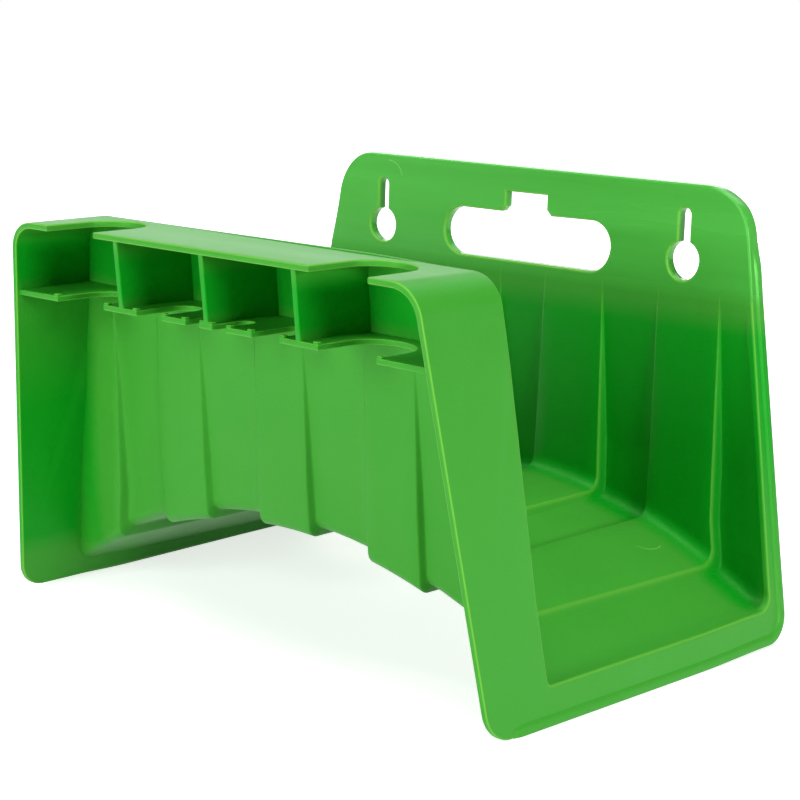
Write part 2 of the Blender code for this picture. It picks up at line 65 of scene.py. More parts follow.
Object = bpy.types.Object
Three = tuple[float, float, float]
Box = tuple[Three, Three]
Place = Callable[[Array, float], Array]


class Side(Enum):
    """The two sides of the part, as the sign of X."""

    LEFT = -1
    RIGHT = 1


def corner_of(node: str, index: int, axis: int) -> float:
    """One coordinate, in millimetres, of a node's lowest (index 0) or highest (index 1) corner."""
    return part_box(node)[index][axis] / MM


def share(z: Array | float, full: Array | float, none: float) -> Array:
    """1 at or below the height full, 0 at or above the height none, and a straight line between."""
    return np.clip((none - z) / (none - full), 0.0, 1.0)


def smooth(t: Array | float) -> Array:
    """Eases 0 to 1 with level ends: 3 t squared less 2 t cubed."""
    t = np.clip(t, 0.0, 1.0)
    return t * t * (3 - 2 * t)


def bow(count: int) -> Array:
    """Numbers that rise from 0 to 1 and fall back to 0, as half a sine wave."""
    return np.sin(np.linspace(0.0, math.pi, count))


def longer(slope: float) -> float:
    """A sloping line's length for each unit of its run."""
    return math.sqrt(1 + slope**2)


def arc(centre: tuple[float, float], radius: float, start: float, end: float, steps: int) -> Array:
    """Points of an arc in a plane.

    Args:
        centre: the arc's centre.
        radius: its radius.
        start: the angle of its first point, in radians.
        end: the angle of its last point.
        steps: the number of chords.

    Returns:
        An array of steps + 1 points, each centre + radius (cos, sin).
    """
    turns = np.linspace(start, end, steps + 1)
    return np.column_stack([centre[0] + radius * np.cos(turns), centre[1] + radius * np.sin(turns)])


def left_of(line: Array) -> Array:
    """Unit vectors (n, 2) to the left of a line of plane points, from the run of each point's neighbours."""
    run = np.gradient(line, axis=0)
    run /= np.linalg.norm(run, axis=1, keepdims=True)
    return np.column_stack([-run[:, 1], run[:, 0]])


@dataclass(frozen=True)
class Envelope:
    """The planes and curves that every piece of the moulding is set out from."""

    plate_top: float = corner_of("plate_rim", 1, 2)
    wall_y: float = corner_of("plate_rim", 1, 1)
    shelf_top: float = corner_of("top_shelf", 1, 2)
    lower_shelf: float = corner_of("lower_shelf", 1, 2)
    saddle_crown: float = 52.4
    saddle_side: float = 11.7
    front_reach: float = 176.8
    front_lean: float = 0.114
    tray_depth: float = 37.9
    trough_lean: float = 0.092
    tray_setback: float = 1.8
    rim_depth: float = 8.7
    face_lean: float = 0.0146
    half_width: float = 137.0
    flare: float = 0.143
    draft: float = 0.0264
    wall: float = 2.5
    edge: float = 1.0
    rounding: float = 0.6
    flat_from: float = 137.0
    shelf_corner: float = 13.0
    rim_corner: float = 22.5

    def side_x(self, y: Array | float, z: Array | float) -> Array:
        """Half the outer width at a depth and height: the side planes flare out downwards."""
        return self.half_width - self.flare * z - self.draft * (self.wall_y - y)

    def front_y(self, z: Array | float) -> Array:
        """The leaning plane of the front edges."""
        return self.wall_y - self.front_reach - self.front_lean * z

    def trough_y(self, z: Array | float) -> Array:
        """The front wall's raised bands, on the trough's side."""
        return self.front_y(0.0) + self.tray_depth - self.trough_lean * z

    def face_y(self, z: Array | float) -> Array:
        """The wall plate's raised bands and its flat upper zone."""
        return self.wall_y - self.rim_depth + self.face_lean * z

    def arch_radius(self) -> float:
        """Radius of the saddle's arch, from its rise over its chord."""
        chord = self.half_width - self.flare * self.saddle_side - self.wall
        rise = self.saddle_crown - self.saddle_side
        return (chord**2 + rise**2) / (2 * rise)

    def arch_z(self, x: Array | float) -> Array:
        """Height of the saddle's raised bands at a distance from the middle."""
        radius = self.arch_radius()
        return self.saddle_crown - radius + np.sqrt(radius**2 - np.square(x))

    def arch_stretch(self, x: Array | float) -> Array:
        """Upright thickness of the saddle for each unit of its own thickness."""
        radius = self.arch_radius()
        return radius / np.sqrt(radius**2 - np.square(x))

    def side_stretch(self) -> float:
        """Distance along X for each unit of distance square to a side plane."""
        return math.sqrt(1 + self.flare**2 + self.draft**2)

    def corner_z(self) -> float:
        """Height of the centre of the top shelf's rounded ends."""
        return self.shelf_top - self.shelf_corner

    def shelf_arc_x(self, y: Array | float) -> Array:
        """Distance from the middle of the centre of the top shelf's rounded ends."""
        return self.side_x(y, self.corner_z()) - self.shelf_corner * longer(self.flare)

    def shelf_back_y(self, z: Array | float) -> Array:
        """The line on which the shelf and its rounded ends run into the front wall's edge."""
        return self.trough_y(z) - self.edge

    def tilt(self) -> float:
        """The side planes' angle from upright."""
        return math.atan(self.flare)

    def strip_top(self) -> float:
        """Height at which the front strip runs into the shelf's rounded end."""
        return self.shelf_top - self.shelf_corner * (1 - math.sin(self.tilt()))


@dataclass(frozen=True)
class Bands:
    """The raised and recessed bands. Risers part them, listed from the middle outwards."""

    back_low: Three = (8.9, 45.9, 70.4)
    back_high: Three = (12.2, 43.5, 71.6)
    front: Three = (13.2, 45.7, 70.7)
    outer_width: float = 23.3
    outer_top_width: float = 12.3
    outer_margin: float = 2.8
    back_depth: float = 4.5
    floor_depth: float = 3.6
    front_depth: float = 2.8
    front_outer_depth: float = 4.1
    meet_z: float = 45.0
    full_below: float = 68.0
    back_end: float = 135.0
    front_end: float = 127.6
    riser: float = 1.8
    riser_tip: float = 0.7
    soften: float = 0.5
    back_border: tuple[float, float] = (1.4, 1.6)
    front_border: tuple[float, float] = (0.4, 1.6)
    ledge_z: float = 14.0
    ledge_bend: float = 0.5


ENVELOPE = Envelope()
BANDS = Bands()


@dataclass(frozen=True)
class Slack:
    """A small bend of the moulding: points in one region move along one axis.

    Each span is (axis, none, full): the move grows from nothing at the first place to all at the
    second.
    """

    axis: int
    amount: float
    spans: tuple[tuple[int, float, float], ...]

    def moves(self, points: Array) -> Array:
        """How far each point (n, 3) moves: the amount times the eased share of every span."""
        whole = np.full(len(points), self.amount)
        for axis, none, full in self.spans:
            whole *= smooth((points[:, axis] - none) / (full - none))
        return whole


PLATE_TOP = ((1, 70.0, 80.0), (2, 137.5, 148.0), (2, 179.0, 170.0))
BENDS = (
    Slack(0, 2.4, ((0, -92.0, -117.0), (1, 70.0, 80.0), (2, 124.0, 163.0))),
    Slack(0, -1.1, ((0, -88.0, -108.0), (1, -42.0, -55.0), (2, 90.0, 120.0))),
    Slack(1, -0.9, ((0, 92.0, 110.0), (1, -60.0, -80.0), (2, 12.0, 40.0), (2, 125.0, 84.0))),
    Slack(0, 0.6, ((0, 92.0, 104.0), (1, -42.0, -60.0), (2, 120.0, 145.0))),
    Slack(2, -1.2, ((0, 45.0, 95.0), (1, -40.0, -60.0), (2, 105.0, 135.0))),
    Slack(2, 1.0, ((0, 90.0, 125.0), (1, 40.0, 85.0), (2, 40.0, 0.0))),
    Slack(2, 0.9, ((0, -90.0, -125.0), (1, -20.0, -60.0), (2, 40.0, 0.0))),
    Slack(2, 1.1, ((0, 0.0, 85.0), *PLATE_TOP)),
    Slack(0, -0.7, ((0, -50.0, -75.0), (0, -100.0, -92.0), *PLATE_TOP)),
)


def bent(points: Array) -> Array:
    """Points (n, 3) after the moulding's small bends, kept inside its outermost planes."""
    moved = points.copy()
    for slack in BENDS:
        moved[:, slack.axis] += slack.moves(points)
    moved[:, 2] = np.clip(moved[:, 2], 0.0, ENVELOPE.plate_top)
    moved[:, 1] = np.clip(moved[:, 1], -ENVELOPE.wall_y, ENVELOPE.wall_y)
    return moved


class Mesh:
    """Collects grids and faces, joins them along shared points and makes the object."""

    def __init__(self) -> None:
        """Starts with no points and no faces."""
        self.points: list[Array] = []
        self.faces: list[Array] = []
        # Each point's weight of the painted edge highlight.
        self.edges: list[Array] = []
        self.count = 0

    def add(self, points: Array, faces: Array, edge: Array | float = 0.0) -> None:
        """Takes a block of points (n, 3), its faces by number and each point's painted highlight weight."""
        self.points.append(points.reshape(-1, 3))
        self.faces.append(faces + self.count)
        self.edges.append(np.broadcast_to(edge, points.shape[:-1]).reshape(-1))
        self.count += len(self.points[-1])

    def merge(self, other: "Mesh") -> None:
        """Takes all that another mesh has collected."""
        self.points += other.points
        self.faces += [faces + self.count for faces in other.faces]
        self.edges += other.edges
        self.count += other.count

    def grid(
        self, points: Array, loop_rows: bool = False, loop_cols: bool = False, edge: Array | float = 0.0
    ) -> None:
        """Takes a grid of points and joins each to its neighbours with four-sided faces.

        Args:
            points: an array (rows, columns, 3).
            loop_rows: whether the last row joins the first.
            loop_cols: whether the last column joins the first.
            edge: the painted highlight's weight, 1 where a point is on a convex edge and 0 elsewhere,
            as numbers that broadcast to (rows, columns).
        """
        rows, cols = points.shape[:2]
        index = np.arange(rows * cols).reshape(rows, cols)
        if loop_rows:
            index = np.vstack([index, index[:1]])
        if loop_cols:
            index = np.hstack([index, index[:, :1]])
        faces = [index[:-1, :-1], index[:-1, 1:], index[1:, 1:], index[1:, :-1]]
        self.add(points, np.stack(faces, axis=-1).reshape(-1, 4), edge)

    def cap(self, points: Array, outlines: Sequence[Array]) -> None:
        """Fills a flat region with triangles.

        Args:
            points: the places (n, 3) of all outline points, in the outlines' order.
            outlines: the outer outline and then any holes, as plane points (n, 2).
        """
        loops = [[Vector((float(u), float(v), 0.0)) for u, v in outline] for outline in outlines]
        self.add(points, np.array(tessellate_polygon(loops), dtype=int))

    def caps(self, rings: Array, flats: Sequence[Array]) -> None:
        """Fills the first and the last of some rings, given their places and their plane points."""
        for ring in (0, -1):
            self.cap(rings[ring], [flats[ring]])

    def make(self, name: str, material: Material, sharp: float = 40.0) -> Object:
        """Makes the object, with its doubles merged and its faces pointing out.

        Args:
            name: the object's name.
            material: its one material.
            sharp: edges sharper than this angle, in degrees, aren't shaded smooth.

        Returns:
            The new object, at the origin.
        """
        mesh = bpy.data.meshes.new(name)
        points = bent(np.concatenate(self.points)) * MM
        faces = [face for block in self.faces for face in block.tolist()]
        mesh.from_pydata(points.tolist(), [], faces)
        # Each point's weight of the painted edge highlight, read by the material.
        highlight_weights = mesh.attributes.new("edge", "FLOAT", "POINT")
        highlight_weights.data.foreach_set("value", np.concatenate(self.edges).astype(np.float32))
        bm = bmesh.new()
        bm.from_mesh(mesh)
        bmesh.ops.remove_doubles(bm, verts=bm.verts, dist=MERGE)
        bmesh.ops.dissolve_degenerate(bm, edges=bm.edges, dist=MERGE / 2)
        bmesh.ops.recalc_face_normals(bm, faces=bm.faces)
        bm.to_mesh(mesh)
        bm.free()
        mesh.materials.append(material)
        mesh.shade_smooth()
        mesh.set_sharp_from_angle(angle=math.radians(sharp))
        obj = bpy.data.objects.new(name, mesh)
        bpy.context.scene.collection.objects.link(obj)
        return obj


def outline_normals(outline: Array) -> Array:
    """Inward mitre vectors of a closed outline (n, 2) that runs anticlockwise.

    Each is the sum of the two neighbouring chords' left normals, over 1 plus their dot product.
    """
    step = np.roll(outline, -1, axis=0) - outline
    step /= np.linalg.norm(step, axis=1, keepdims=True)
    left = np.column_stack([-step[:, 1], step[:, 0]])
    before = np.roll(left, 1, axis=0)
    return (before + left) / (1 + np.sum(before * left, axis=1, keepdims=True))


def rounded_section(thickness: float, radius: float, steps: int = 4) -> Array:
    """Steps from one face of a plate over its rounded edge to the other face.

    Args:
        thickness: the plate's thickness.
        radius: the edge's radius at both faces.
        steps: the number of chords in each rounding.

    Returns:
        (inset, depth) pairs: a narrow flat, a quarter circle, the edge, a quarter circle, a flat.
    """
    first = arc((radius, radius), radius, -QUARTER, -2 * QUARTER, steps)
    last = arc((radius, thickness - radius), radius, 2 * QUARTER, QUARTER, steps)
    return np.vstack([[(radius + STRIP, 0.0)], first, last, [(radius + STRIP, thickness)]])


def section_highlight(section: Array) -> Array:
    """The painted edge highlight's weight: 1 in the middle of each of a section's two roundings and 0
    elsewhere, as a column.
    """
    wave = bow((len(section) - 2) // 2)
    return np.concatenate([[0.0], wave, wave, [0.0]])[:, None]


def layers(outline: Array, inward: Array, section: Array, place: Place) -> tuple[list[Array], Array]:
    """One ring of points for each step of an edge's section.

    Args:
        outline: the closed outline (n, 2).
        inward: how each point moves for each unit of inset (n, 2).
        section: (inset, depth) pairs.
        place: gives the places of plane points at a depth below the first face.

    Returns:
        The rings as plane points and as places (rings, n, 3).
    """
    flats = [outline + inward * inset for inset, _ in section]
    return flats, np.array([place(flat, depth) for flat, (_, depth) in zip(flats, section)])


def level_at(top: float) -> Place:
    """Gives the function that lays plane points (x, y) at a depth below a height."""
    return lambda flat, depth: np.column_stack([flat, np.full(len(flat), top - depth)])


def plate_mesh(outline: Array, section: Array, place: Place, mask: Array | float = 1.0) -> Mesh:
    """A flat plate with rounded edges.

    Args:
        outline: its closed outline (n, 2), anticlockwise.
        section: its edge's section.
        place: gives the places of plane points at a depth below the first face.
        mask: 1 where an outline point's edge is rounded and 0 where it stays square.

    Returns:
        The plate: one ring of points for each step of the section, and a cap on each face.
    """
    weight = np.ones(len(outline)) * mask
    flats, rings = layers(outline, outline_normals(outline) * weight[:, None], section, place)
    mesh = Mesh()
    mesh.grid(rings, loop_cols=True, edge=section_highlight(section) * weight)
    mesh.caps(rings, flats)
    return mesh


def show(obj: Object, *nodes: str) -> None:
    """Lets a piece ride on the part's one body and stand for its nodes."""
    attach(obj, "root")
    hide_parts(*nodes)
    LOG.info("%s: %d faces", obj.name, len(obj.data.polygons))


class Socket:
    """A node's output, with the operators and the further nodes that the finishes need."""

    def __init__(self, tree: bpy.types.NodeTree, link: bpy.types.NodeSocket) -> None:
        """Keeps the tree and the output."""
        self.tree = tree
        self.link = link

    def output(self, name: str) -> "Socket":
        """Another output of the same node."""
        return Socket(self.tree, self.link.node.outputs[name])

    def feed(self, target: bpy.types.NodeSocket) -> None:
        """Joins this output to a node's input."""
        self.tree.links.new(self.link, target)

    def maths(self, operation: str, other: object = 0.0) -> "Socket":
        """One Math node on this value and another."""
        return node(self.tree, "ShaderNodeMath", {"operation": operation}, _0=self, _1=other)

    def vector(self, operation: str, other: object = (0.0, 0.0, 0.0)) -> "Socket":
        """One Vector Math node on this vector and another."""
        return node(self.tree, "ShaderNodeVectorMath", {"operation": operation}, _0=self, _1=other)

    def mapped(self, low: float, high: float, start: float = 0.0, end: float = 1.0) -> "Socket":
        """start up to the value low, end from the value high on, and a straight line between."""
        span = {"From_Min": low, "From_Max": high, "To_Min": start, "To_Max": end}
        return node(self.tree, "ShaderNodeMapRange", Value=self, **span)

    def noise(self, scale: float, detail: float) -> "Socket":
        """Cloudy noise at this place."""
        return node(self.tree, "ShaderNodeTexNoise", Vector=self, Scale=scale, Detail=detail)

    def __add__(self, other: object) -> "Socket":
        """self + other"""
        return self.maths("ADD", other)

    __radd__ = __add__

    def __sub__(self, other: object) -> "Socket":
        """self - other"""
        return self.maths("SUBTRACT", other)

    def __rsub__(self, other: object) -> "Socket":
        """other - self"""
        return node(self.tree, "ShaderNodeMath", {"operation": "SUBTRACT"}, _0=other, _1=self)

    def __mul__(self, other: object) -> "Socket":
        """self x other"""
        return self.maths("MULTIPLY", other)

    __rmul__ = __mul__


def node(tree: bpy.types.NodeTree, kind: str, settings: dict | None = None, **values: object) -> Socket:
    """Adds any node.

    Args:
        tree: the node tree.
        kind: the node's type.
        settings: its settings, which are made first.
        values: a value or a Socket for each input, by name with spaces as underscores, or by
            number as _0, _1 and so on.

    Returns:
        The node's first output that is switched on.
    """
    made = tree.nodes.new(kind)
    for key, value in (settings or {}).items():
        setattr(made, key, value)
    for key, value in values.items():
        target = made.inputs[int(key[1:])] if key[0] == "_" else made.inputs[key.replace("_", " ")]
        if isinstance(value, Socket):
            value.feed(target)
        else:
            target.default_value = value
    return Socket(tree, next(output for output in made.outputs if output.enabled))


def mixed(factor: Socket, first: Socket | Three, second: Socket | Three) -> Socket:
    """A colour between two, each a Socket or three numbers."""
    ends = [end if isinstance(end, Socket) else (*end, 1.0) for end in (first, second)]
    return node(factor.tree, "ShaderNodeMix", {"data_type": "RGBA"}, _0=factor, _6=ends[0], _7=ends[1])


def inside(place: Socket, box: Box, soft: float) -> Socket:
    """1 well inside a box, fading to 0 over the last stretch before its sides."""
    middle = tuple((low + high) / 2 for low, high in zip(*box))
    half = tuple((high - low) / 2 for low, high in zip(*box))
    apart = place.vector("SUBTRACT", middle).vector("ABSOLUTE").vector("SUBTRACT", half)
    parts = node(place.tree, "ShaderNodeSeparateXYZ", Vector=apart)
    wide = parts.output("X").maths("MAXIMUM", parts.output("Y")).maths("MAXIMUM", parts.output("Z"))
    return wide.mapped(-soft, 0.0, 1.0, 0.0)


@dataclass(frozen=True)
class Mark:
    """A fine arc-shaped scratch: part of a circle, kept inside a box. Sizes are in metres."""

    centre: Three
    radius: float
    box: Box
    half_width: float = 0.00025
    soft: float = 0.001

    def drawn(self, place: Socket) -> Socket:
        """1 on the arc, fading to 0 over its half width."""
        away = (place.vector("DISTANCE", self.centre).output("Value") - self.radius).maths("ABSOLUTE")
        return away.mapped(0.0, self.half_width, 1.0, 0.0) * inside(place, self.box, self.soft)


@dataclass(frozen=True)
class GreenPlastic:
    """The moulding's one finish, with its places in metres: satin green with a fine grain.

    It has painted shade inside the painted shade boxes, and on the plate above the bands it is glossier,
    with a painted sheen that makes it paler.
    """

    name: str
    colour: Three = (0.050, 0.330, 0.028)
    deep: Three = (0.041, 0.305, 0.024)
    # Painted highlight: a pale yellow-green along convex edges and riser ridges, where light catches the
    # roundings.
    painted_highlight_colour: Three = (0.24, 0.55, 0.06)
    painted_highlight_share: float = 0.5
    # Painted sheen: a paler green in streaks on the plate above the bands, in place of its glossy
    # reflection.
    painted_sheen_colour: Three = (0.080, 0.450, 0.062)
    # Painted shade: a deep green inside these boxes, where the plate's banded zone, the tray's cells and the
    # left side frame's inner face lie in shadow.
    painted_shade_colour: Three = (0.001, 0.300, 0.009)
    painted_shade_boxes: tuple[Box, ...] = (
        ((-0.140, 0.0775, -0.020), (0.134, 0.110, 0.131)),
        ((-0.133, -0.110, 0.129), (0.108, -0.040, 0.1595)),
        ((-0.140, -0.110, 0.015), (-0.110, -0.045, 0.175)),
    )
    painted_shade_soft: float = 0.009
    marks: tuple[Mark, ...] = (
        Mark((0.08225, 0.0714, 0.03773), 0.0089, ((0.0855, 0.0630, 0.030), (0.0945, 0.0755, 0.042))),
        Mark((-0.0805, 0.0915, 0.1700), 0.0082, ((-0.0815, 0.0880, 0.1715), (-0.0700, 0.0940, 0.1800))),
    )
    mark_colour: Three = (0.34, 0.66, 0.22)
    mark_share: float = 0.7
    polished_from: float = 0.1345
    polished_to: float = 0.1405
    polished_y: float = 0.06
    roughness: float = 0.40
    grained_roughness: float = 0.08
    polished_roughness: float = -0.14
    streak_roughness: float = 0.16
    sheen_streak_share: float = 1.6
    streak_stretch: Three = (0.10, 1.0, 1.5)
    streak_scale: float = 44.0
    streak_detail: float = 4.0
    streak_middle: float = 0.5
    grain_height: float = 0.00009
    grain_scale: float = 900.0
    grain_detail: float = 2.0
    wave_height: float = 0.0004
    wave_scale: float = 22.0
    wave_detail: float = 3.0
    specular: float = 0.45
    specular_tint: Three = (0.35, 1.0, 0.30)

    def build(self) -> Material:
        """Makes the material.

        The colour drifts slowly between two greens and turns to a painted shade inside each shade
        box: the plate's banded zone, the tray's cells and the inner side of the left side frame.
        On the plate above the bands a painted sheen makes it paler, in streaks along X that also
        change the roughness. It pales on convex edges, as a painted highlight, and on the marks.
        A fine grain and a slow wave raise the surface, the grain everywhere except on the plate above the
        bands.
        """
        material = bpy.data.materials.new(self.name)
        material.use_nodes = True
        tree = material.node_tree
        shader = tree.nodes["Principled BSDF"]
        place = node(tree, "ShaderNodeTexCoord").output("Object")
        parts = node(tree, "ShaderNodeSeparateXYZ", Vector=place)
        on_plate = parts.output("Y").maths("GREATER_THAN", self.polished_y)
        polished = parts.output("Z").mapped(self.polished_from, self.polished_to) * on_plate
        drift = place.noise(self.wave_scale, self.wave_detail)
        stretched = node(tree, "ShaderNodeMapping", Vector=place, Scale=self.streak_stretch)
        streaks = stretched.noise(self.streak_scale, self.streak_detail)
        grain = place.noise(self.grain_scale, self.grain_detail)
        edge = node(tree, "ShaderNodeAttribute", {"attribute_name": "edge"}).output("Fac")
        base = mixed(drift, self.colour, self.deep)
        # Painted shade inside each shade box.
        for box in self.painted_shade_boxes:
            base = mixed(inside(place, box, self.painted_shade_soft), base, self.painted_shade_colour)
        # Painted sheen: paler streaks on the plate above the bands.
        base = mixed(polished * streaks * self.sheen_streak_share, base, self.painted_sheen_colour)
        # Painted highlight on convex edges, weighted by the mesh's edge attribute.
        base = mixed(edge * self.painted_highlight_share, base, self.painted_highlight_colour)
        for mark in self.marks:
            base = mixed(mark.drawn(place) * self.mark_share, base, self.mark_colour)
        base.feed(shader.inputs["Base Color"])
        streaky = (streaks - self.streak_middle) * self.streak_roughness
        zones = (1 - polished) * self.grained_roughness + polished * self.polished_roughness
        (self.roughness + streaky + zones).feed(shader.inputs["Roughness"])
        relief = grain * (1 - polished) * self.grain_height + drift * self.wave_height
        node(tree, "ShaderNodeBump", Height=relief, Distance=1.0, Strength=1.0).feed(shader.inputs["Normal"])
        shader.inputs["Specular IOR Level"].default_value = self.specular
        shader.inputs["Specular Tint"].default_value = (*self.specular_tint, 1.0)
        return material


@dataclass(frozen=True)
class Trough:
    """The banded channel: the plate's lower part, the saddle and the front wall in one skin.

    It has a near skin, on the trough's side, and a far skin one wall's thickness behind. In its
    methods behind is 0 for the near skin and the wall's thickness for the far one.
    """

    back_fillet: float = 6.0
    front_fillet: float = 2.5
    lap: float = 0.4
    run_on: float = 0.8
    sink: float = 0.05
    ease_end: float = 0.36
    first_z: float = 50.0
    rounds: int = 5
    key_count: int = 12
    wall_rows: int = 56
    fillet_rows: int = 12
    floor_rows: int = 44
    corner_rows: int = 12
    edge_steps: int = 6
    riser_steps: int = 10
    flat_steps: int = 5
    # Weights of the painted highlight on the riser ridges and along the side roundings.
    ridge_highlight: float = 0.45
    edge_highlight: float = 0.7

    @cached_property
    def stations(self) -> tuple[Array, Array, Array]:
        """The columns of the right half, from the middle to the side.

        Returns:
            weights: each column's place as weights on the twelve key distances, which are 0, the
                two feet of each of the five risers, and the edge.
            recess: each column's share of the recess, before the last riser.
            last: how far each column has come across the last riser, from 0 to 1.
        """
        weights, recess, last = [], [], []
        level = 1.0
        outermost = self.key_count - 3
        for gap in range(self.key_count - 1):
            riser = gap % 2 == 1
            steps = self.riser_steps if riser else self.flat_steps
            for t in np.linspace(0.0, 1.0, steps, endpoint=False):
                row = np.zeros(self.key_count)
                row[gap : gap + 2] = 1 - t, t
                weights.append(row)
                eased = self.ease(t) if riser else 0.0
                recess.append(1.0 if gap >= outermost else level + (1 - 2 * level) * eased)
                last.append(eased if gap == outermost else float(gap > outermost))
            if riser and gap < outermost:
                level = 1 - level
        weights.append(np.eye(self.key_count)[-1])
        return np.array(weights), np.array(recess + [1.0]), np.array(last + [1.0])

    def ease(self, t: float) -> float:
        """A riser's rise from 0 to 1: a straight slope with a parabola at each end."""
        q = self.ease_end
        slope = 1 / (1 - q)
        if t < q:
            return slope * t * t / (2 * q)
        if t > 1 - q:
            return 1 - slope * (1 - t) ** 2 / (2 * q)
        return slope * (t - q / 2)

    def level(self, front: bool, behind: float) -> Array:
        """Each column's share of the recess on a wall; the plate's near skin is raised at its edge."""
        _, recess, last = self.stations
        return recess if front or behind else recess - last

    def keys(self, z: Array, edge: Array, front: bool, fade: Array) -> Array:
        """The twelve key distances from the middle, at each point's height.

        Args:
            z: the points' heights.
            edge: the distance of the skin's edge from the middle there.
            front: whether they are the front wall's.
            fade: 1 where the bands are full and 0 where they have run out.

        Returns:
            An array with one more axis, of twelve.
        """
        low = share(z, BANDS.meet_z, BANDS.back_end)
        width = BANDS.riser_tip + (BANDS.riser - BANDS.riser_tip) * fade + BANDS.soften
        ends = (BANDS.front, BANDS.front) if front else (BANDS.back_high, BANDS.back_low)
        places = [up + (down - up) * low for up, down in zip(*ends)]
        side = edge + ENVELOPE.edge - BANDS.outer_margin
        places.append(side - BANDS.outer_top_width - (BANDS.outer_width - BANDS.outer_top_width) * low)
        found = [0 * z]
        for place in places:
            found += [place - width / 2, place + width / 2]
        flat, riser = BANDS.front_border if front else BANDS.back_border
        return np.stack(found + [edge - flat - riser, edge - flat, edge], axis=-1)

    def shifts(self, depth: Array) -> Array:
        """How far each riser's far side stands off its near side, square to the band.

        The wall keeps its thickness round a riser, so its far face moves by the thickness times
        the tangent of half the riser's slope, towards the side that the wall fills.
        """
        step = ENVELOPE.wall * np.tan(np.arctan2(depth, BANDS.riser) / 2)
        return step[..., None] * np.array([0, 1, 1, -1, -1, 1, 1, -1, -1, 0, 0, 0], float)

    def floor_z(self, x: Array, level: Array, behind: float) -> Array:
        """Height of the floor: the arch less the recess.

        The near skin doesn't sink below a ledge. It keeps to the smooth maximum of the two, which
        is the ledge plus half of the gap and the root of its square plus the bend's square.
        """
        floor = ENVELOPE.arch_z(x) - level * BANDS.floor_depth
        if behind:
            return floor
        gap = floor - BANDS.ledge_z
        return BANDS.ledge_z + (gap + np.sqrt(gap**2 + BANDS.ledge_bend**2)) / 2

    def wall_block(self, front: bool, behind: float) -> Array:
        """One of the two walls, from its top down to its fillet.

        A point's height runs from the top to the fillet's upper end at its own column. Its depth
        is the wall's plane, set back by the recess where the band is recessed. Its distance from
        the middle depends on both, so the three are found in a few rounds.

        Args:
            front: whether it is the front wall.
            behind: which skin it is of.

        Returns:
            Points (rows, columns, 3), top row first.
        """
        env = ENVELOPE
        weights, recess, _ = self.stations
        level = self.level(front, behind)
        outer = np.arange(len(recess)) >= 3 * self.riser_steps + 4 * self.flat_steps
        inset = (env.wall - self.lap) * env.side_stretch() if behind else env.edge
        top = env.corner_z() if front else env.flat_from
        fillet = self.front_fillet if front else self.back_fillet
        t = np.linspace(0.0, 1.0, self.wall_rows)[:, None]
        guess = weights @ np.linspace(0, env.side_x(0.0, self.first_z), self.key_count)
        x = np.ones((self.wall_rows, 1)) * guess
        for _ in range(self.rounds):
            foot = self.floor_z(x, level, behind) + fillet
            z = top + (foot[-1:] - top) * t
            if front:
                depth = np.where(outer, BANDS.front_outer_depth, BANDS.front_depth)
                fade = share(z, np.where(outer, BANDS.meet_z, BANDS.full_below), BANDS.front_end)
                y = env.trough_y(z) - level * depth * fade - behind * longer(env.trough_lean)
            else:
                depth = BANDS.back_depth
                fade = share(z, BANDS.full_below, BANDS.back_end)
                y = env.face_y(z) + level * depth * fade + behind
            found = self.keys(z, env.side_x(y, z) - inset, front, fade)
            if behind:
                found = found + self.shifts(depth * fade)
            x = np.sum(found * weights, axis=-1)
        return np.stack([x, y, z], axis=-1)

    def floor_block(self, back: Array, front: Array, behind: float) -> Array:
        """The two fillets and the floor between the walls' lowest rows.

        Each fillet is a quarter circle about a point inside the trough, drawn larger by the wall's
        thickness on the far side. The floor follows the arch at each point's own distance from
        the middle, less the recess.

        Args:
            back: the plate's block.
            front: the front wall's block.
            behind: which skin they are of.

        Returns:
            Points (rows, columns, 3), from the plate to the front wall.
        """
        env = ENVELOPE
        recess = self.stations[1]
        x_back, y_back = back[-1, :, 0], back[-1, :, 1]
        x_front, y_front = front[-1, :, 0], front[-1, :, 1]
        lean, slant = longer(env.trough_lean), math.atan(env.trough_lean)
        centre_back = y_back - behind - self.back_fillet
        centre_front = y_front + behind * lean + self.front_fillet * lean
        wall_level = self.level(False, behind)
        turns = np.linspace(0.0, 1.0, self.fillet_rows)
        rows = []

        def fillet(x: Array, y: Array, level: Array, radius: float, side: int, angle: float) -> None:
            """Adds one row of a fillet on a side: 1 for the plate's and -1 for the front wall's."""
            drop = (radius + behind * env.arch_stretch(x)) * math.sin(angle)
            reach = side * (radius + behind)
            z = self.floor_z(x, level, behind) + radius - drop
            rows.append((x, y + reach * math.cos(angle), z))

        for t in turns[1:]:
            level = wall_level + (recess - wall_level) * smooth(t)
            fillet(x_back, centre_back, level, self.back_fillet, 1, t * QUARTER)
        for t in np.linspace(0.0, 1.0, self.floor_rows)[1:-1]:
            x = x_back + (x_front - x_back) * t
            z = self.floor_z(x, recess, behind) - behind * env.arch_stretch(x)
            rows.append((x, centre_back + (centre_front - centre_back) * t, z))
        for t in turns[:-1]:
            fillet(x_front, centre_front, recess, self.front_fillet, -1, QUARTER - t * (QUARTER + slant))
        return np.array(rows).transpose(0, 2, 1)

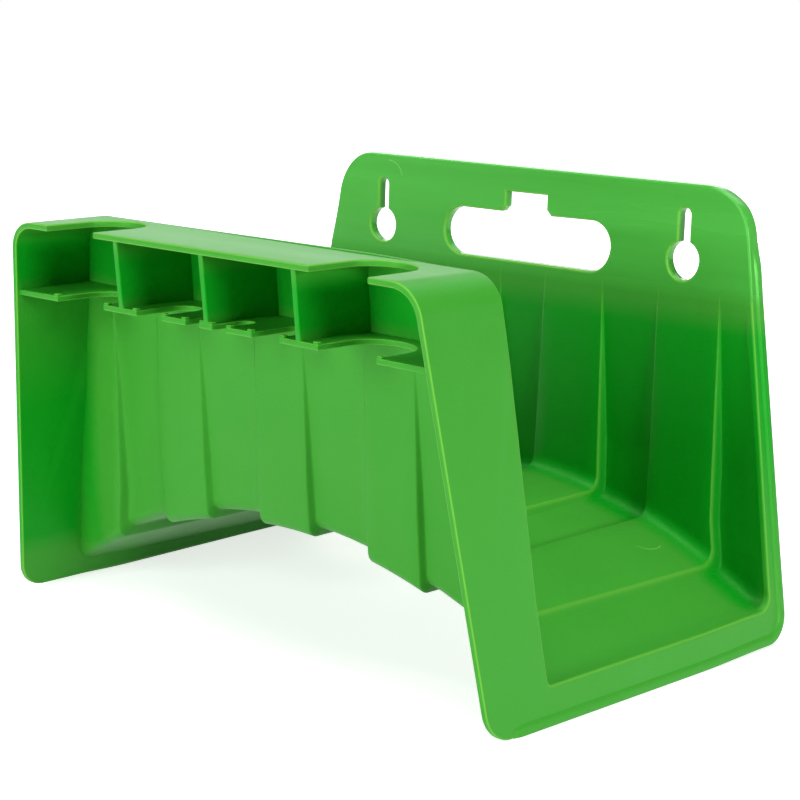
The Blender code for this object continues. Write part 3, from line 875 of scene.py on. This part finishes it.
    def corner_block(self, front: Array, behind: float) -> Array:
        """The front wall above the centre of the shelf's rounded ends.

        Its rows rise by the sine of an even turn, and its half width follows the ends' circle.
        """
        env = ENVELOPE
        radius = env.shelf_corner - (env.wall - self.lap if behind else env.edge)
        turns = np.linspace(0.0, QUARTER, self.corner_rows + 1)[1:, None]
        z = env.corner_z() + radius * np.sin(turns)
        y = env.trough_y(z) - behind * longer(env.trough_lean)
        half = env.shelf_arc_x(env.trough_y(z)) + radius * np.cos(np.maximum(turns, env.tilt()))
        straight = env.side_x(y, z) - (env.shelf_corner - radius) * longer(env.flare)
        half = np.where(turns < env.tilt(), straight, half)
        x = front[0, :, 0] / front[0, -1, 0] * half
        return np.stack([x, y + 0 * x, z + 0 * x], axis=-1)

    def skin(self, behind: float) -> Array:
        """One skin's right half (rows, columns, 3), from the flat zone round to the front's top."""
        back, front = self.wall_block(False, behind), self.wall_block(True, behind)
        floor = self.floor_block(back, front, behind)
        return np.concatenate([back, floor, front[::-1], self.corner_block(front, behind)])

    def outward(self, points: Array, straight: int) -> Array:
        """Unit vectors (x, z) at the last column, square to the skin's outline.

        They are level below the shelf's corner, and turn up to +Z round it.
        """
        turns = np.zeros(len(points))
        radius = ENVELOPE.shelf_corner - ENVELOPE.edge
        rise = (points[straight:, -1, 2] - ENVELOPE.corner_z()) / radius
        turns[straight:] = np.arcsin(np.clip(rise, 0.0, 1.0))
        return np.column_stack([np.cos(turns), np.sin(turns)])

    def rounding(self, points: Array) -> Array:
        """The rounded edge beside the last column, and the strip that it ends in.

        The skin turns through a quarter circle into the side plane, or round the shelf's corner
        into its top, and then runs on a little below that plane's surface.

        Returns:
            Points (rows, steps + 1, 3), from the edge outwards.
        """
        env = ENVELOPE
        straight = len(points) - self.corner_rows
        into = -left_of(points[:, -1, 1:])
        out = self.outward(points, straight)
        edge = points[:, -1]
        columns = []
        steps = [(turn, 0.0, 0.0) for turn in np.linspace(0.0, QUARTER, self.edge_steps + 1)[1:]]
        for turn, further, sink in steps + [(QUARTER, self.run_on, self.sink)]:
            fall = env.edge * (1 - math.cos(turn)) + further
            reach = env.edge * math.sin(turn) - sink
            y = edge[:, 1] - into[:, 0] * fall
            z = edge[:, 2] - into[:, 1] * fall + out[:, 1] * reach
            x = edge[:, 0] + out[:, 0] * reach
            x[:straight] = (env.side_x(y, z) - (env.edge - reach))[:straight]
            columns.append(np.column_stack([x, y, z]))
        return np.stack(columns, axis=1)

    def ridge(self) -> Array:
        """The painted highlight's weight, above 0 where a riser leaves its raised band, for the columns of
        both halves.
        """
        recess = self.stations[1]
        ahead, behind = np.roll(recess, -1) - recess, recess - np.roll(recess, 1)
        sloping = (np.abs(behind) > 0) & (np.abs(ahead) > 0)
        bend = np.where(sloping, np.clip(ahead - behind, 0.0, None), 0.0)
        bend[[0, -1]] = 0.0
        return self.ridge_highlight * np.concatenate([bend[:0:-1], bend]) / bend.max()

    def build(self, material: Material) -> Object:
        """Makes the channel, closed between its two skins."""
        half = self.skin(0.0)
        far = both_halves(self.skin(ENVELOPE.wall))
        rounding = self.rounding(half)
        near = both_halves(np.concatenate([half, rounding], axis=1))
        extra = rounding.shape[1]
        crest = self.crest(half[-1, -1], rounding[-1], near[-1, extra:-extra])
        # The painted highlight's weights along both side roundings; the riser ridges' follow.
        side = np.append(self.edge_highlight * bow(extra + 1)[1:-1] ** 3, 0.0)
        mesh = Mesh()
        mesh.grid(near, edge=np.concatenate([side[::-1], self.ridge(), side]))
        mesh.grid(crest)
        mesh.grid(far)
        for near_line, far_line in (
            (near[0, extra:-extra], far[0]),
            (crest[-1], far[-1]),
            (near[:, 0], far[:, 0]),
            (near[:, -1], far[:, -1]),
        ):
            mesh.grid(np.stack([near_line, far_line]))
        for ring, tip in ((near[0, : extra + 1], far[0, 0]), (near[0, -extra - 1 :], far[0, -1])):
            fan = np.array([(k, k + 1, extra + 1) for k in range(extra)])
            mesh.add(np.vstack([ring, tip[None]]), fan)
        return mesh.make("trough_skin", material)

    def crest(self, corner: Array, bend: Array, top: Array) -> Array:
        """Rows that round the front wall's top edge forward into the top shelf.

        Each moves the top row as the rounding beside it moves the row's last point.

        Args:
            corner: the top row's last point.
            bend: the rounding's points there (steps, 3).
            top: the top row (columns, 3).

        Returns:
            Points (steps + 1, columns, 3), from the top row on.
        """
        moves = np.vstack([np.zeros(3), (bend - corner) * np.array([0.0, 1.0, 1.0])])
        return top[None] + moves[:, None]

    def edge_outline(self) -> Array:
        """(y, z) of the line where the rounded edge meets the side plane, plate to front wall."""
        points = self.skin(0.0)
        ends = points[:, -1, 1:] + left_of(points[:, -1, 1:]) * ENVELOPE.edge
        straight = np.arange(len(ends)) < len(ends) - self.corner_rows
        return ends[straight | (ends[:, 1] < ENVELOPE.strip_top())]


def both_halves(half: Array) -> Array:
    """Mirrors a half skin (rows, columns, 3), whose first column is the middle, in X."""
    mirrored = half[:, :0:-1] * np.array([-1.0, 1.0, 1.0])
    return np.concatenate([mirrored, half], axis=1)


@dataclass(frozen=True)
class WallPlate:
    """The plate's flat upper zone with its holes, and the rim that turns back to the wall."""

    keyhole_drop: float = 31.9
    keyhole_x: float = 83.0
    keyhole_radius: float = 7.6
    neck_half: float = 2.7
    neck_top: float = 20.9
    slot_drop: float = 30.2
    slot_end: float = 35.5
    slot_radius: float = 10.4
    notch_half: float = 11.3
    notch_depth: float = 8.8
    notch_chamfer: float = 2.4
    mouth: float = 1.1
    collar: float = 2.0
    collar_depth: float = 4.6
    rim_strip: float = 0.5
    end_radius: float = 0.4
    root_depth: float = 1.6
    arc_steps: int = 24
    edge_steps: int = 6
    end_steps: int = 3
    side_steps: int = 5

    def keyhole(self, side: Side, grow: float) -> Array:
        """A keyhole's outline (x, z), anticlockwise: a round bowl with a narrower neck above."""
        radius = self.keyhole_radius + grow
        neck = self.neck_half + grow
        opening = math.acos(neck / radius)
        x = side.value * self.keyhole_x
        z = ENVELOPE.plate_top - self.keyhole_drop
        bowl = arc((x, z), radius, 2 * QUARTER - opening, 4 * QUARTER + opening, 2 * self.arc_steps)
        crown = arc((x, z + self.neck_top - self.neck_half), neck, 0.0, 2 * QUARTER, self.arc_steps // 2)
        return np.vstack([bowl, crown])

    def hand_slot(self, grow: float) -> Array:
        """The hand slot's outline (x, z), anticlockwise, with the square notch in its top edge."""
        z = ENVELOPE.plate_top - self.slot_drop
        radius = self.slot_radius + grow
        right = arc((self.slot_end, z), radius, -QUARTER, QUARTER, self.arc_steps)
        left = arc((-self.slot_end, z), radius, QUARTER, 3 * QUARTER, self.arc_steps)
        edge, top, cut = self.notch_half + grow, z + radius, self.notch_chamfer
        notch = np.array([(edge + cut, top), (edge, top + cut), (edge, top + self.notch_depth)])
        return np.vstack([right, notch, notch[::-1] * MIRROR, left])

    def holes(self) -> dict[str, Callable[[float], Array]]:
        """The three holes by their mouths' names, each as a function of how far it is grown."""
        return {
            "hand_slot_mouth": self.hand_slot,
            "keyhole_mouth_left": partial(self.keyhole, Side.LEFT),
            "keyhole_mouth_right": partial(self.keyhole, Side.RIGHT),
        }

    def rim_outline(self, inset: float) -> Array:
        """The plate's outline (x, z) above the bands, from the right over the top to the left."""
        env = ENVELOPE
        centre_z = env.plate_top - env.rim_corner
        stretch = longer(env.flare)
        centre_x = env.half_width - env.flare * centre_z - env.rim_corner * stretch
        corner = arc((centre_x, centre_z), env.rim_corner - inset, env.tilt(), QUARTER, self.arc_steps)
        foot = np.array([[env.half_width - env.flare * env.flat_from - inset * stretch, env.flat_from]])
        rise = np.linspace(0.0, 1.0, self.side_steps + 1)[1:-1, None]
        right = np.vstack([foot, foot + (corner[:1] - foot) * rise, corner])
        return np.vstack([right, right[::-1] * MIRROR])

    def placed(self, outline: Array, depth: float) -> Array:
        """Puts (x, z) points on the plate's face, or at a depth behind it."""
        y = ENVELOPE.face_y(outline[:, 1]) + depth
        return np.column_stack([outline[:, 0], y, outline[:, 1]])

    def mouth_arc(self, radius: float) -> Array:
        """A rounded front edge, as (inset, depth) pairs from the face round to the side."""
        return arc((radius, radius), radius, -QUARTER, -2 * QUARTER, self.edge_steps)

    def end_arcs(self, outer: float, depth: float) -> Array:
        """The back end of a wall that reaches to an inset and a depth, rounded on both sides."""
        end = self.end_radius
        inner = arc((end, depth - end), end, 2 * QUARTER, QUARTER, self.end_steps)
        return np.vstack([inner, arc((outer - end, depth - end), end, QUARTER, 0.0, self.end_steps)])

    def build_panel(self, material: Material) -> Object:
        """Makes the flat zone: two flat faces with holes, joined round their outlines."""
        outlines = [self.rim_outline(ENVELOPE.edge + self.rim_strip)]
        outlines += [hole(self.mouth + STRIP) for hole in self.holes().values()]
        mesh = Mesh()
        for depth in (0.0, ENVELOPE.wall):
            mesh.cap(np.vstack([self.placed(outline, depth) for outline in outlines]), outlines)
        for outline in outlines:
            rings = [self.placed(outline, depth) for depth in (0.0, ENVELOPE.wall)]
            mesh.grid(np.array(rings), loop_cols=True)
        return mesh.make("plate_panel", material)

    def build_collar(self, name: str, hole: Callable[[float], Array], material: Material) -> Object:
        """Makes a hole's rounded mouth and the collar behind it, as rings of grown outlines."""
        mouth = self.mouth_arc(self.mouth)
        ends = self.end_arcs(self.collar, self.collar_depth)
        root = [(self.collar, self.root_depth)]
        section = np.vstack([[(self.mouth + STRIP, 0.0)], mouth, ends, root])
        # The painted highlight's weight on the mouth's rounding.
        edge = np.zeros((len(section), 1))
        edge[1 : len(mouth) + 1, 0] = bow(len(mouth))
        mesh = Mesh()
        rings = [self.placed(hole(grow), depth) for grow, depth in section]
        mesh.grid(np.array(rings), loop_rows=True, loop_cols=True, edge=edge)
        return mesh.make(name, material)

    def build_rim(self, material: Material) -> Object:
        """Makes the rim over the top: one section, whose end reaches back to the wall."""
        env = ENVELOPE
        front = np.vstack([[(env.edge + self.rim_strip, 0.0)], self.mouth_arc(env.edge)])
        end = self.end_arcs(env.wall, 0.0)
        section = np.vstack([front, end, [(env.wall, self.root_depth)]])
        at_wall = np.concatenate([np.zeros(len(front)), np.ones(len(end)), [0.0]])
        rings = []
        for (inset, depth), whole in zip(section, at_wall):
            ring = self.placed(self.rim_outline(inset), depth)
            ring[:, 1] += whole * (env.wall_y - env.face_y(ring[:, 2]))
            rings.append(ring)
        mesh = Mesh()
        grid = np.array(rings)
        mesh.grid(grid, loop_rows=True)
        mesh.caps(grid.swapaxes(0, 1), grid.swapaxes(0, 1)[..., :2])
        return mesh.make("rim_over_top", material)

    def build(self, material: Material) -> list[Object]:
        """Makes the panel, the three collars and the rim."""
        pieces = [self.build_panel(material)]
        pieces += [self.build_collar(name, hole, material) for name, hole in self.holes().items()]
        return pieces + [self.build_rim(material)]


@dataclass(frozen=True)
class SideFrame:
    """One side plate: the front strip, the foot band and the rim's lower part, with its lip."""

    trough: Trough
    foot_corner: float = 12.0
    lip_height: float = 4.0
    lip_start: float = 12.0
    lip_rise: float = 4.0
    lip_fade: float = 10.0
    lip_radius: float = 0.35
    lip_root: float = 1.6
    lip_least: float = 0.05
    lip_slope: tuple[tuple[float, float], ...] = ((1.3, 0.0), (1.0, -0.1), (0.0, -1.0))
    lip_steps: int = 3
    corner_steps: int = 12
    line_steps: int = 40

    def corner(self, y: float, z: float, before: Array, after: Array) -> Array:
        """A rounded corner between two directions that lead away from it."""
        tip = np.array([y, z])
        before, after = before / np.linalg.norm(before), after / np.linalg.norm(after)
        half = math.acos(float(before @ after)) / 2
        centre = tip + (before + after) / np.linalg.norm(before + after) * self.foot_corner / math.sin(half)
        first = tip + before * self.foot_corner / math.tan(half) - centre
        last = tip + after * self.foot_corner / math.tan(half) - centre
        start = math.atan2(first[1], first[0])
        sweep = (math.atan2(last[1], last[0]) - start + math.pi) % (2 * math.pi) - math.pi
        return arc(tuple(centre), self.foot_corner, start, start + sweep, self.corner_steps)

    def outer_line(self) -> Array:
        """(y, z) from the plate's back edge down, along the foot and up the front edge."""
        env = ENVELOPE
        top = env.strip_top()
        up_front = np.array([env.front_y(top) - env.front_y(0.0), top])
        back = self.corner(env.wall_y, 0.0, np.array([0.0, 1.0]), np.array([-1.0, 0.0]))
        front = self.corner(env.front_y(0.0), 0.0, np.array([1.0, 0.0]), up_front)
        return np.vstack([[(env.wall_y, env.flat_from)], back, front, [(env.front_y(top), top)]])

    def placed(self, side: Side, flat: Array, depth: float) -> Array:
        """Puts (y, z) points on the side plane, or at a depth inside it.

        Points at a depth are also lowered, by nothing at the foot and by a right amount at the top
        for the plate's end to be square to the shelf's rounded corner there.
        """
        y, z = flat.T
        z = z - depth * math.sin(ENVELOPE.tilt()) * z / ENVELOPE.strip_top()
        x = ENVELOPE.side_x(y, z) - depth * longer(ENVELOPE.flare)
        return np.column_stack([side.value * x, y, z])

    def add_plate(self, mesh: Mesh, side: Side) -> None:
        """Adds the side plate, rounded along its outer line only and open at its upper front end."""
        env = ENVELOPE
        outer = self.outer_line()
        inner = self.trough.edge_outline()[::-1]
        inner[0] = (env.shelf_back_y(env.strip_top()), env.strip_top())
        inner[-1, 1] = env.flat_from
        outline = np.vstack([outer, inner])
        first = len(outer)
        inward = outline_normals(outline[::-1])[::-1]
        inward[first - 1] = (1.0, 0.0)
        inward[0] = (-1.0, 0.0)
        inward[first:] = 0.0
        section = rounded_section(env.wall, env.rounding)
        flats, rings = layers(outline, inward, section, partial(self.placed, side))
        mesh.grid(rings[:, :first], edge=section_highlight(section))
        mesh.grid(rings[:, list(range(first, len(outline))) + [0]])
        mesh.caps(rings, flats)

    def lip_line(self) -> tuple[Array, Array]:
        """The line that the lip follows and its inward vectors, from the front foot to the rim."""
        env = ENVELOPE
        line = self.outer_line()[: self.corner_steps + 2][::-1]
        start = np.array([[env.front_y(0.0) + self.lip_start, 0.0]])
        steps = np.linspace(0.0, 1.0, self.line_steps, endpoint=False)[:, None]
        fill = start + (line[:1] - start) * steps
        rise = np.array([env.wall_y, env.plate_top - env.rim_corner])
        up = line[-2] + (rise - line[-2]) * np.linspace(0.0, 1.0, self.line_steps)[1:, None]
        line = np.vstack([fill, line[:-1], up])
        return line, left_of(line)

    def build_lip(self, side: Side, material: Material) -> Object:
        """Makes the lip: a low rounded band along the outer line that runs out at both ends.

        Its section is (inset, height above the lip's face) pairs. The heights shrink with the lip
        as it runs out, except those of its root, which stays below the side plane.
        """
        line, inward = self.lip_line()
        length = np.concatenate([[0.0], np.cumsum(np.linalg.norm(np.diff(line, axis=0), axis=1))])
        proud = smooth(length / self.lip_rise) * smooth((length[-1] - length) / self.lip_fade)
        soft, end, root = self.lip_radius, self.lip_height, -self.lip_root
        high = arc((soft, -soft), soft, 2 * QUARTER, QUARTER, self.lip_steps)
        slope = [(end - before, above) for before, above in self.lip_slope]
        section = np.vstack([[(0.0, root)], high, slope, [(end, root)]])
        shrink = self.lip_least + (1 - self.lip_least) * proud
        rings = []
        for inset, above in section:
            y, z = (line + inward * inset).T
            lift = proud + above * shrink if above > root else above
            rings.append(np.column_stack([side.value * (ENVELOPE.side_x(y, z) + lift), y, z]))
        mesh = Mesh()
        grid = np.array(rings)
        mesh.grid(grid, loop_rows=True)
        mesh.caps(grid.swapaxes(0, 1), [section, section])
        return mesh.make(f"lip_{side.name.lower()}", material)


@dataclass(frozen=True)
class Tray:
    """The two shelves with their notches, and the three ribs between them."""

    lower_edge: float = 0.45
    lower_thickness: float = 2.2
    wall_overlap: float = 0.6
    rib_thickness: float = 2.4
    rib_spacing: float = 48.6
    rib_edge: float = 0.5
    rib_sink: float = 0.5
    rib_back: float = 1.0
    large: Three = (58.8, 87.2, 31.0)
    medium: Three = (24.8, 39.2, 26.5)
    small: Three = (3.6, 11.1, 18.5)
    pip_half: tuple[float, float] = (1.2, 0.9)
    pip_thickness: float = 1.6
    pip_edge: float = 0.4
    pip_beside: float = 1.3
    pip_behind: float = 1.0
    pip_height: float = 0.9
    notch_steps: int = 24
    arc_steps: int = 14

    def notch(self, span: Three, front: float) -> Array:
        """A U-shaped notch (x, y), open at the front edge, from its inner to its outer mouth."""
        inner, outer, depth = span
        radius = (outer - inner) / 2
        end = ENVELOPE.front_y(ENVELOPE.lower_shelf) + depth - radius
        curve = arc(((outer + inner) / 2, end), radius, 2 * QUARTER, 0.0, self.notch_steps)
        return np.vstack([[(inner, front)], curve, [(outer, front)]])

    def shelf_outline(
        self, front: float, back: float, half: float, spans: Sequence[Three]
    ) -> tuple[Array, Array]:
        """A shelf's outline (x, y), anticlockwise from its left front corner.

        Args:
            front: the front edge.
            back: the back edge.
            half: half the shelf's width.
            spans: the notches of one side, from the middle outwards.

        Returns:
            The outline, and 1 for each point on a front or notch edge or 0 for the rest.
        """
        right = np.vstack([self.notch(span, front) for span in spans])
        free = np.vstack([[(-half, front)], right[::-1] * MIRROR, right, [(half, front)]])
        mask = np.concatenate([np.ones(len(free)), np.zeros(2)])
        mask[[0, len(free) - 1]] = 0.0
        return np.vstack([free, [(half, back), (-half, back)]]), mask

    def add_top(self, mesh: Mesh) -> None:
        """Adds the top shelf's flat part, open at both ends."""
        env = ENVELOPE
        z = env.shelf_top
        front, back = float(env.front_y(z)), float(env.shelf_back_y(z))
        outline, mask = self.shelf_outline(front, back, float(env.shelf_arc_x(front)), [self.large])
        last = len(outline) - 3
        ends = [0, last, last + 1, last + 2]
        inward = outline_normals(outline) * mask[:, None]
        inward[[0, last]] = (0.0, 1.0)
        section = rounded_section(env.wall, env.rounding)
        rings = layers(outline, inward, section, level_at(z))[1]
        rings[:, ends, 0] = np.array([-1, 1, 1, -1]) * env.shelf_arc_x(rings[:, ends, 1])
        mesh.grid(rings[:, : last + 1], edge=section_highlight(section))
        mesh.grid(rings[:, last + 1 :])
        mesh.caps(rings, rings[..., :2])

    def add_end(self, mesh: Mesh, side: Side) -> None:
        """Adds one rounded end of the top shelf: its edge section carried round the corner."""
        env = ENVELOPE
        section = rounded_section(env.wall, env.rounding)
        turns = np.linspace(env.tilt(), QUARTER, self.arc_steps + 1)
        outer_z = env.corner_z() + env.shelf_corner * np.sin(turns)
        lines = [(env.front_y(outer_z) + inset, depth) for inset, depth in section]
        lines += [(env.shelf_back_y(outer_z), depth) for _, depth in section[::-1]]
        rings = []
        for y, depth in lines:
            radius = env.shelf_corner - depth
            x = env.shelf_arc_x(y) + radius * np.cos(turns)
            rings.append(np.column_stack([side.value * x, y, env.corner_z() + radius * np.sin(turns)]))
        edge = np.vstack([section_highlight(section), np.zeros((len(section), 1))])
        mesh.grid(np.array(rings), loop_rows=True, edge=edge)

    def lower_front(self) -> float:
        """The lower shelf's front edge."""
        return float(ENVELOPE.front_y(ENVELOPE.lower_shelf)) + ENVELOPE.tray_setback

    def build_lower(self, material: Material) -> Object:
        """Makes the lower shelf."""
        env = ENVELOPE
        z, front = env.lower_shelf, self.lower_front()
        back = float(env.trough_y(z)) - env.wall * self.wall_overlap
        half = float(env.side_x(front, z)) - env.wall * self.wall_overlap
        outline, mask = self.shelf_outline(front, back, half, [self.small, self.medium, self.large])
        section = rounded_section(self.lower_thickness, self.lower_edge)
        return plate_mesh(outline, section, level_at(z), mask).make("lower_shelf_plate", material)

    def build_pips(self, material: Material) -> Object:
        """Makes the small raised pips that the trimmed mould runners left on the tabs' corners."""
        spans = (self.small, self.medium, self.large)
        places = [x for span in spans for x in (span[0] - self.pip_beside, span[1] + self.pip_beside)]
        corners = np.array([(-1, -1), (1, -1), (1, 1), (-1, 1)]) * self.pip_half
        section = rounded_section(self.pip_thickness, self.pip_edge)
        top = level_at(ENVELOPE.lower_shelf + self.pip_height)
        mesh = Mesh()
        for side in Side:
            for x in places:
                middle = (side.value * x, self.lower_front() + self.pip_behind)
                mesh.merge(plate_mesh(corners + middle, section, top))
        return mesh.make("tab_pips", material)

    def build_rib(self, name: str, centre: float, material: Material) -> Object:
        """Makes an upright rib, rounded along its front edge."""
        env = ENVELOPE
        low, high = env.lower_shelf - self.rib_sink, env.shelf_top - env.wall + self.rib_sink
        front = [(env.front_y(z) + env.tray_setback, z) for z in (low, high)]
        back = [(env.trough_y(z) - self.rib_back, z) for z in (low, high)]
        outline = np.array([front[0], back[0], back[1], front[1]])
        inward = np.array([(1.0, 0.0), (0.0, 0.0), (0.0, 0.0), (1.0, 0.0)])
        face = centre - self.rib_thickness / 2
        flats, rings = layers(
            outline,
            inward,
            rounded_section(self.rib_thickness, self.rib_edge),
            lambda flat, depth: np.column_stack([np.full(len(flat), face + depth), flat]),
        )
        mesh = Mesh()
        mesh.grid(rings, loop_cols=True)
        mesh.caps(rings, flats)
        return mesh.make(name, material)


@dataclass(frozen=True)
class Softbox:
    """One area lamp that looks at the object's middle. Sizes are in metres, its power in watts."""

    name: str
    place: Three
    size: tuple[float, float]
    power: float
    target: Three = (0.0, 0.0, 0.08)

    def build(self) -> None:
        """Makes the lamp."""
        lamp = bpy.data.lights.new(self.name, "AREA")
        lamp.shape = "RECTANGLE"
        lamp.size, lamp.size_y = self.size
        lamp.energy = self.power
        obj = bpy.data.objects.new(self.name, lamp)
        look = (Vector(self.target) - Vector(self.place)).to_track_quat("-Z", "Y")
        obj.matrix_world = Matrix.Translation(self.place) @ look.to_matrix().to_4x4()
        bpy.context.scene.collection.objects.link(obj)


@dataclass(frozen=True)
class Studio:
    """The pale floor, the plain light and the camera at the photograph's angle, in metres."""

    yaw: float = 42.6703
    pitch: float = 11.3375
    roll: float = -1.1406
    place: Three = (0.582956, -0.618011, 0.262312)
    lens: float = 96.34
    sensor: float = 36.0
    clip_start: float = 0.01
    ambient: float = 0.02
    floor_size: float = 6.0
    floor_z: float = -0.0002
    floor_colour: float = 0.8
    floor_roughness: float = 0.9
    glow: tuple[float, float] = (0.72, 1.0)
    glow_reach: tuple[float, float] = (0.25, 0.8)
    mirrored: tuple[float, float] = (0.15, 0.05)
    mirrored_rise: tuple[float, float] = (0.25, 0.6)
    softboxes: tuple[Softbox, ...] = (
        Softbox("front", (-0.144, -2.062, 0.832), (0.6, 0.9), 19.5),
        Softbox("front_low", (0.076, -2.19, 0.272), (0.6, 0.3), 11.5),
        Softbox("right_front", (2.097, -0.484, 0.537), (0.5, 0.5), 20.0),
        Softbox("right", (2.165, 0.076, 0.462), (0.5, 0.6), 8.0),
        Softbox("overhead", (0.118, -0.099, 2.275), (1.4, 1.4), 37.0),
        Softbox("left_high", (-1.383, -0.294, 1.765), (0.8, 0.8), 8.0),
        Softbox("behind", (-1.442, 1.547, 0.686), (1.6, 0.7), 9.0),
        Softbox("behind_high", (-0.284, 1.61, 1.552), (1.2, 0.8), 7.0),
    )

    def build_camera(self) -> None:
        """Makes the camera from its turn, dip and roll."""
        yaw, pitch, roll = (math.radians(angle) for angle in (self.yaw, self.pitch, self.roll))
        flat = math.cos(pitch)
        ahead = Vector((-math.sin(yaw) * flat, math.cos(yaw) * flat, -math.sin(pitch)))
        level = Vector((math.cos(yaw), math.sin(yaw), 0.0))
        down = ahead.cross(level)
        right = level * math.cos(roll) + down * math.sin(roll)
        below = down * math.cos(roll) - level * math.sin(roll)
        data = bpy.data.cameras.new("camera")
        data.lens = self.lens
        data.sensor_width = self.sensor
        data.clip_start = self.clip_start
        camera = bpy.data.objects.new("camera", data)
        turn = Matrix((right, -below, -ahead)).transposed()
        camera.matrix_world = Matrix.Translation(self.place) @ turn.to_4x4()
        bpy.context.scene.collection.objects.link(camera)
        bpy.context.scene.camera = camera

    def floor_material(self) -> Material:
        """A pale diffuse surface that also glows, more so far out, where the camera sees it."""
        material = bpy.data.materials.new("pale_floor")
        material.use_nodes = True
        tree = material.node_tree
        shader = tree.nodes["Principled BSDF"]
        shader.inputs["Base Color"].default_value = (*[self.floor_colour] * 3, 1.0)
        shader.inputs["Roughness"].default_value = self.floor_roughness
        shader.inputs["Specular IOR Level"].default_value = 0.0
        paths = node(tree, "ShaderNodeLightPath")
        seen = paths.output("Is Camera Ray") + paths.output("Is Glossy Ray")
        reach = node(tree, "ShaderNodeTexCoord").output("Object").vector("LENGTH").output("Value")
        light = node(tree, "ShaderNodeEmission", Strength=seen * reach.mapped(*self.glow_reach, *self.glow))
        both = node(tree, "ShaderNodeAddShader", _0=Socket(tree, shader.outputs[0]), _1=light)
        both.feed(tree.nodes["Material Output"].inputs["Surface"])
        return material

    def build_floor(self) -> None:
        """Makes the floor, which keeps the object's shadow."""
        half = self.floor_size / 2
        mesh = bpy.data.meshes.new("floor")
        square = [(x * half, y * half, self.floor_z) for x, y in ((-1, -1), (1, -1), (1, 1), (-1, 1))]
        mesh.from_pydata(square, [], [(0, 1, 2, 3)])
        floor = bpy.data.objects.new("floor", mesh)
        mesh.materials.append(self.floor_material())
        bpy.context.scene.collection.objects.link(floor)

    def build_world(self) -> None:
        """A plain surrounding, white to the camera, dark in reflections and faint as a light."""
        world = bpy.data.worlds.new("surrounding")
        world.use_nodes = True
        bpy.context.scene.world = world
        tree = world.node_tree
        paths = node(tree, "ShaderNodeLightPath")
        view = node(tree, "ShaderNodeTexCoord").output("Generated")
        rise = node(tree, "ShaderNodeSeparateXYZ", Vector=view).output("Z")
        glossy = paths.output("Is Glossy Ray") * rise.mapped(*self.mirrored_rise, *self.mirrored)
        seen = paths.output("Is Camera Ray") + glossy
        background = tree.nodes["Background"]
        (self.ambient + seen * (1 - self.ambient)).feed(background.inputs["Strength"])
        background.inputs["Color"].default_value = (1.0, 1.0, 1.0, 1.0)

    def build(self) -> None:
        """Makes the camera, the floor, the surrounding and the lamps."""
        self.build_camera()
        self.build_floor()
        self.build_world()
        for softbox in self.softboxes:
            softbox.build()
        bpy.context.scene.view_settings.view_transform = "Standard"


def corners(box: Sequence[Sequence[float]]) -> list[list[float]]:
    """A box's two corners as plain lists."""
    return [[float(value) for value in corner] for corner in box]


def main() -> None:
    """Builds the pieces in order."""
    logging.basicConfig(level=logging.INFO, format="%(message)s")
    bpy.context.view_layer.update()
    Studio().build()
    plastic = GreenPlastic("green_plastic").build()
    trough = Trough()
    show(trough.build(plastic), "saddle", "front_wall", "back_plate")
    for piece in WallPlate().build(plastic):
        show(piece, "plate_rim" if piece.name == "rim_over_top" else "back_plate")
    side_frame, tray = SideFrame(trough), Tray()
    shell = Mesh()
    tray.add_top(shell)
    for side in Side:
        side_frame.add_plate(shell, side)
        tray.add_end(shell, side)
        show(side_frame.build_lip(side, plastic), f"side_frame_{side.name.lower()}")
    show(shell.make("side_frames_and_shelf", plastic), "side_frame_left", "side_frame_right", "top_shelf")
    show(tray.build_lower(plastic), "lower_shelf")
    show(tray.build_pips(plastic), "lower_shelf")
    for name, place in (("left", -1), ("centre", 0), ("right", 1)):
        rib = tray.build_rib(f"rib_{name}", place * tray.rib_spacing, plastic)
        show(rib, f"partition_{name}")


if __name__ == "__main__":
    main()
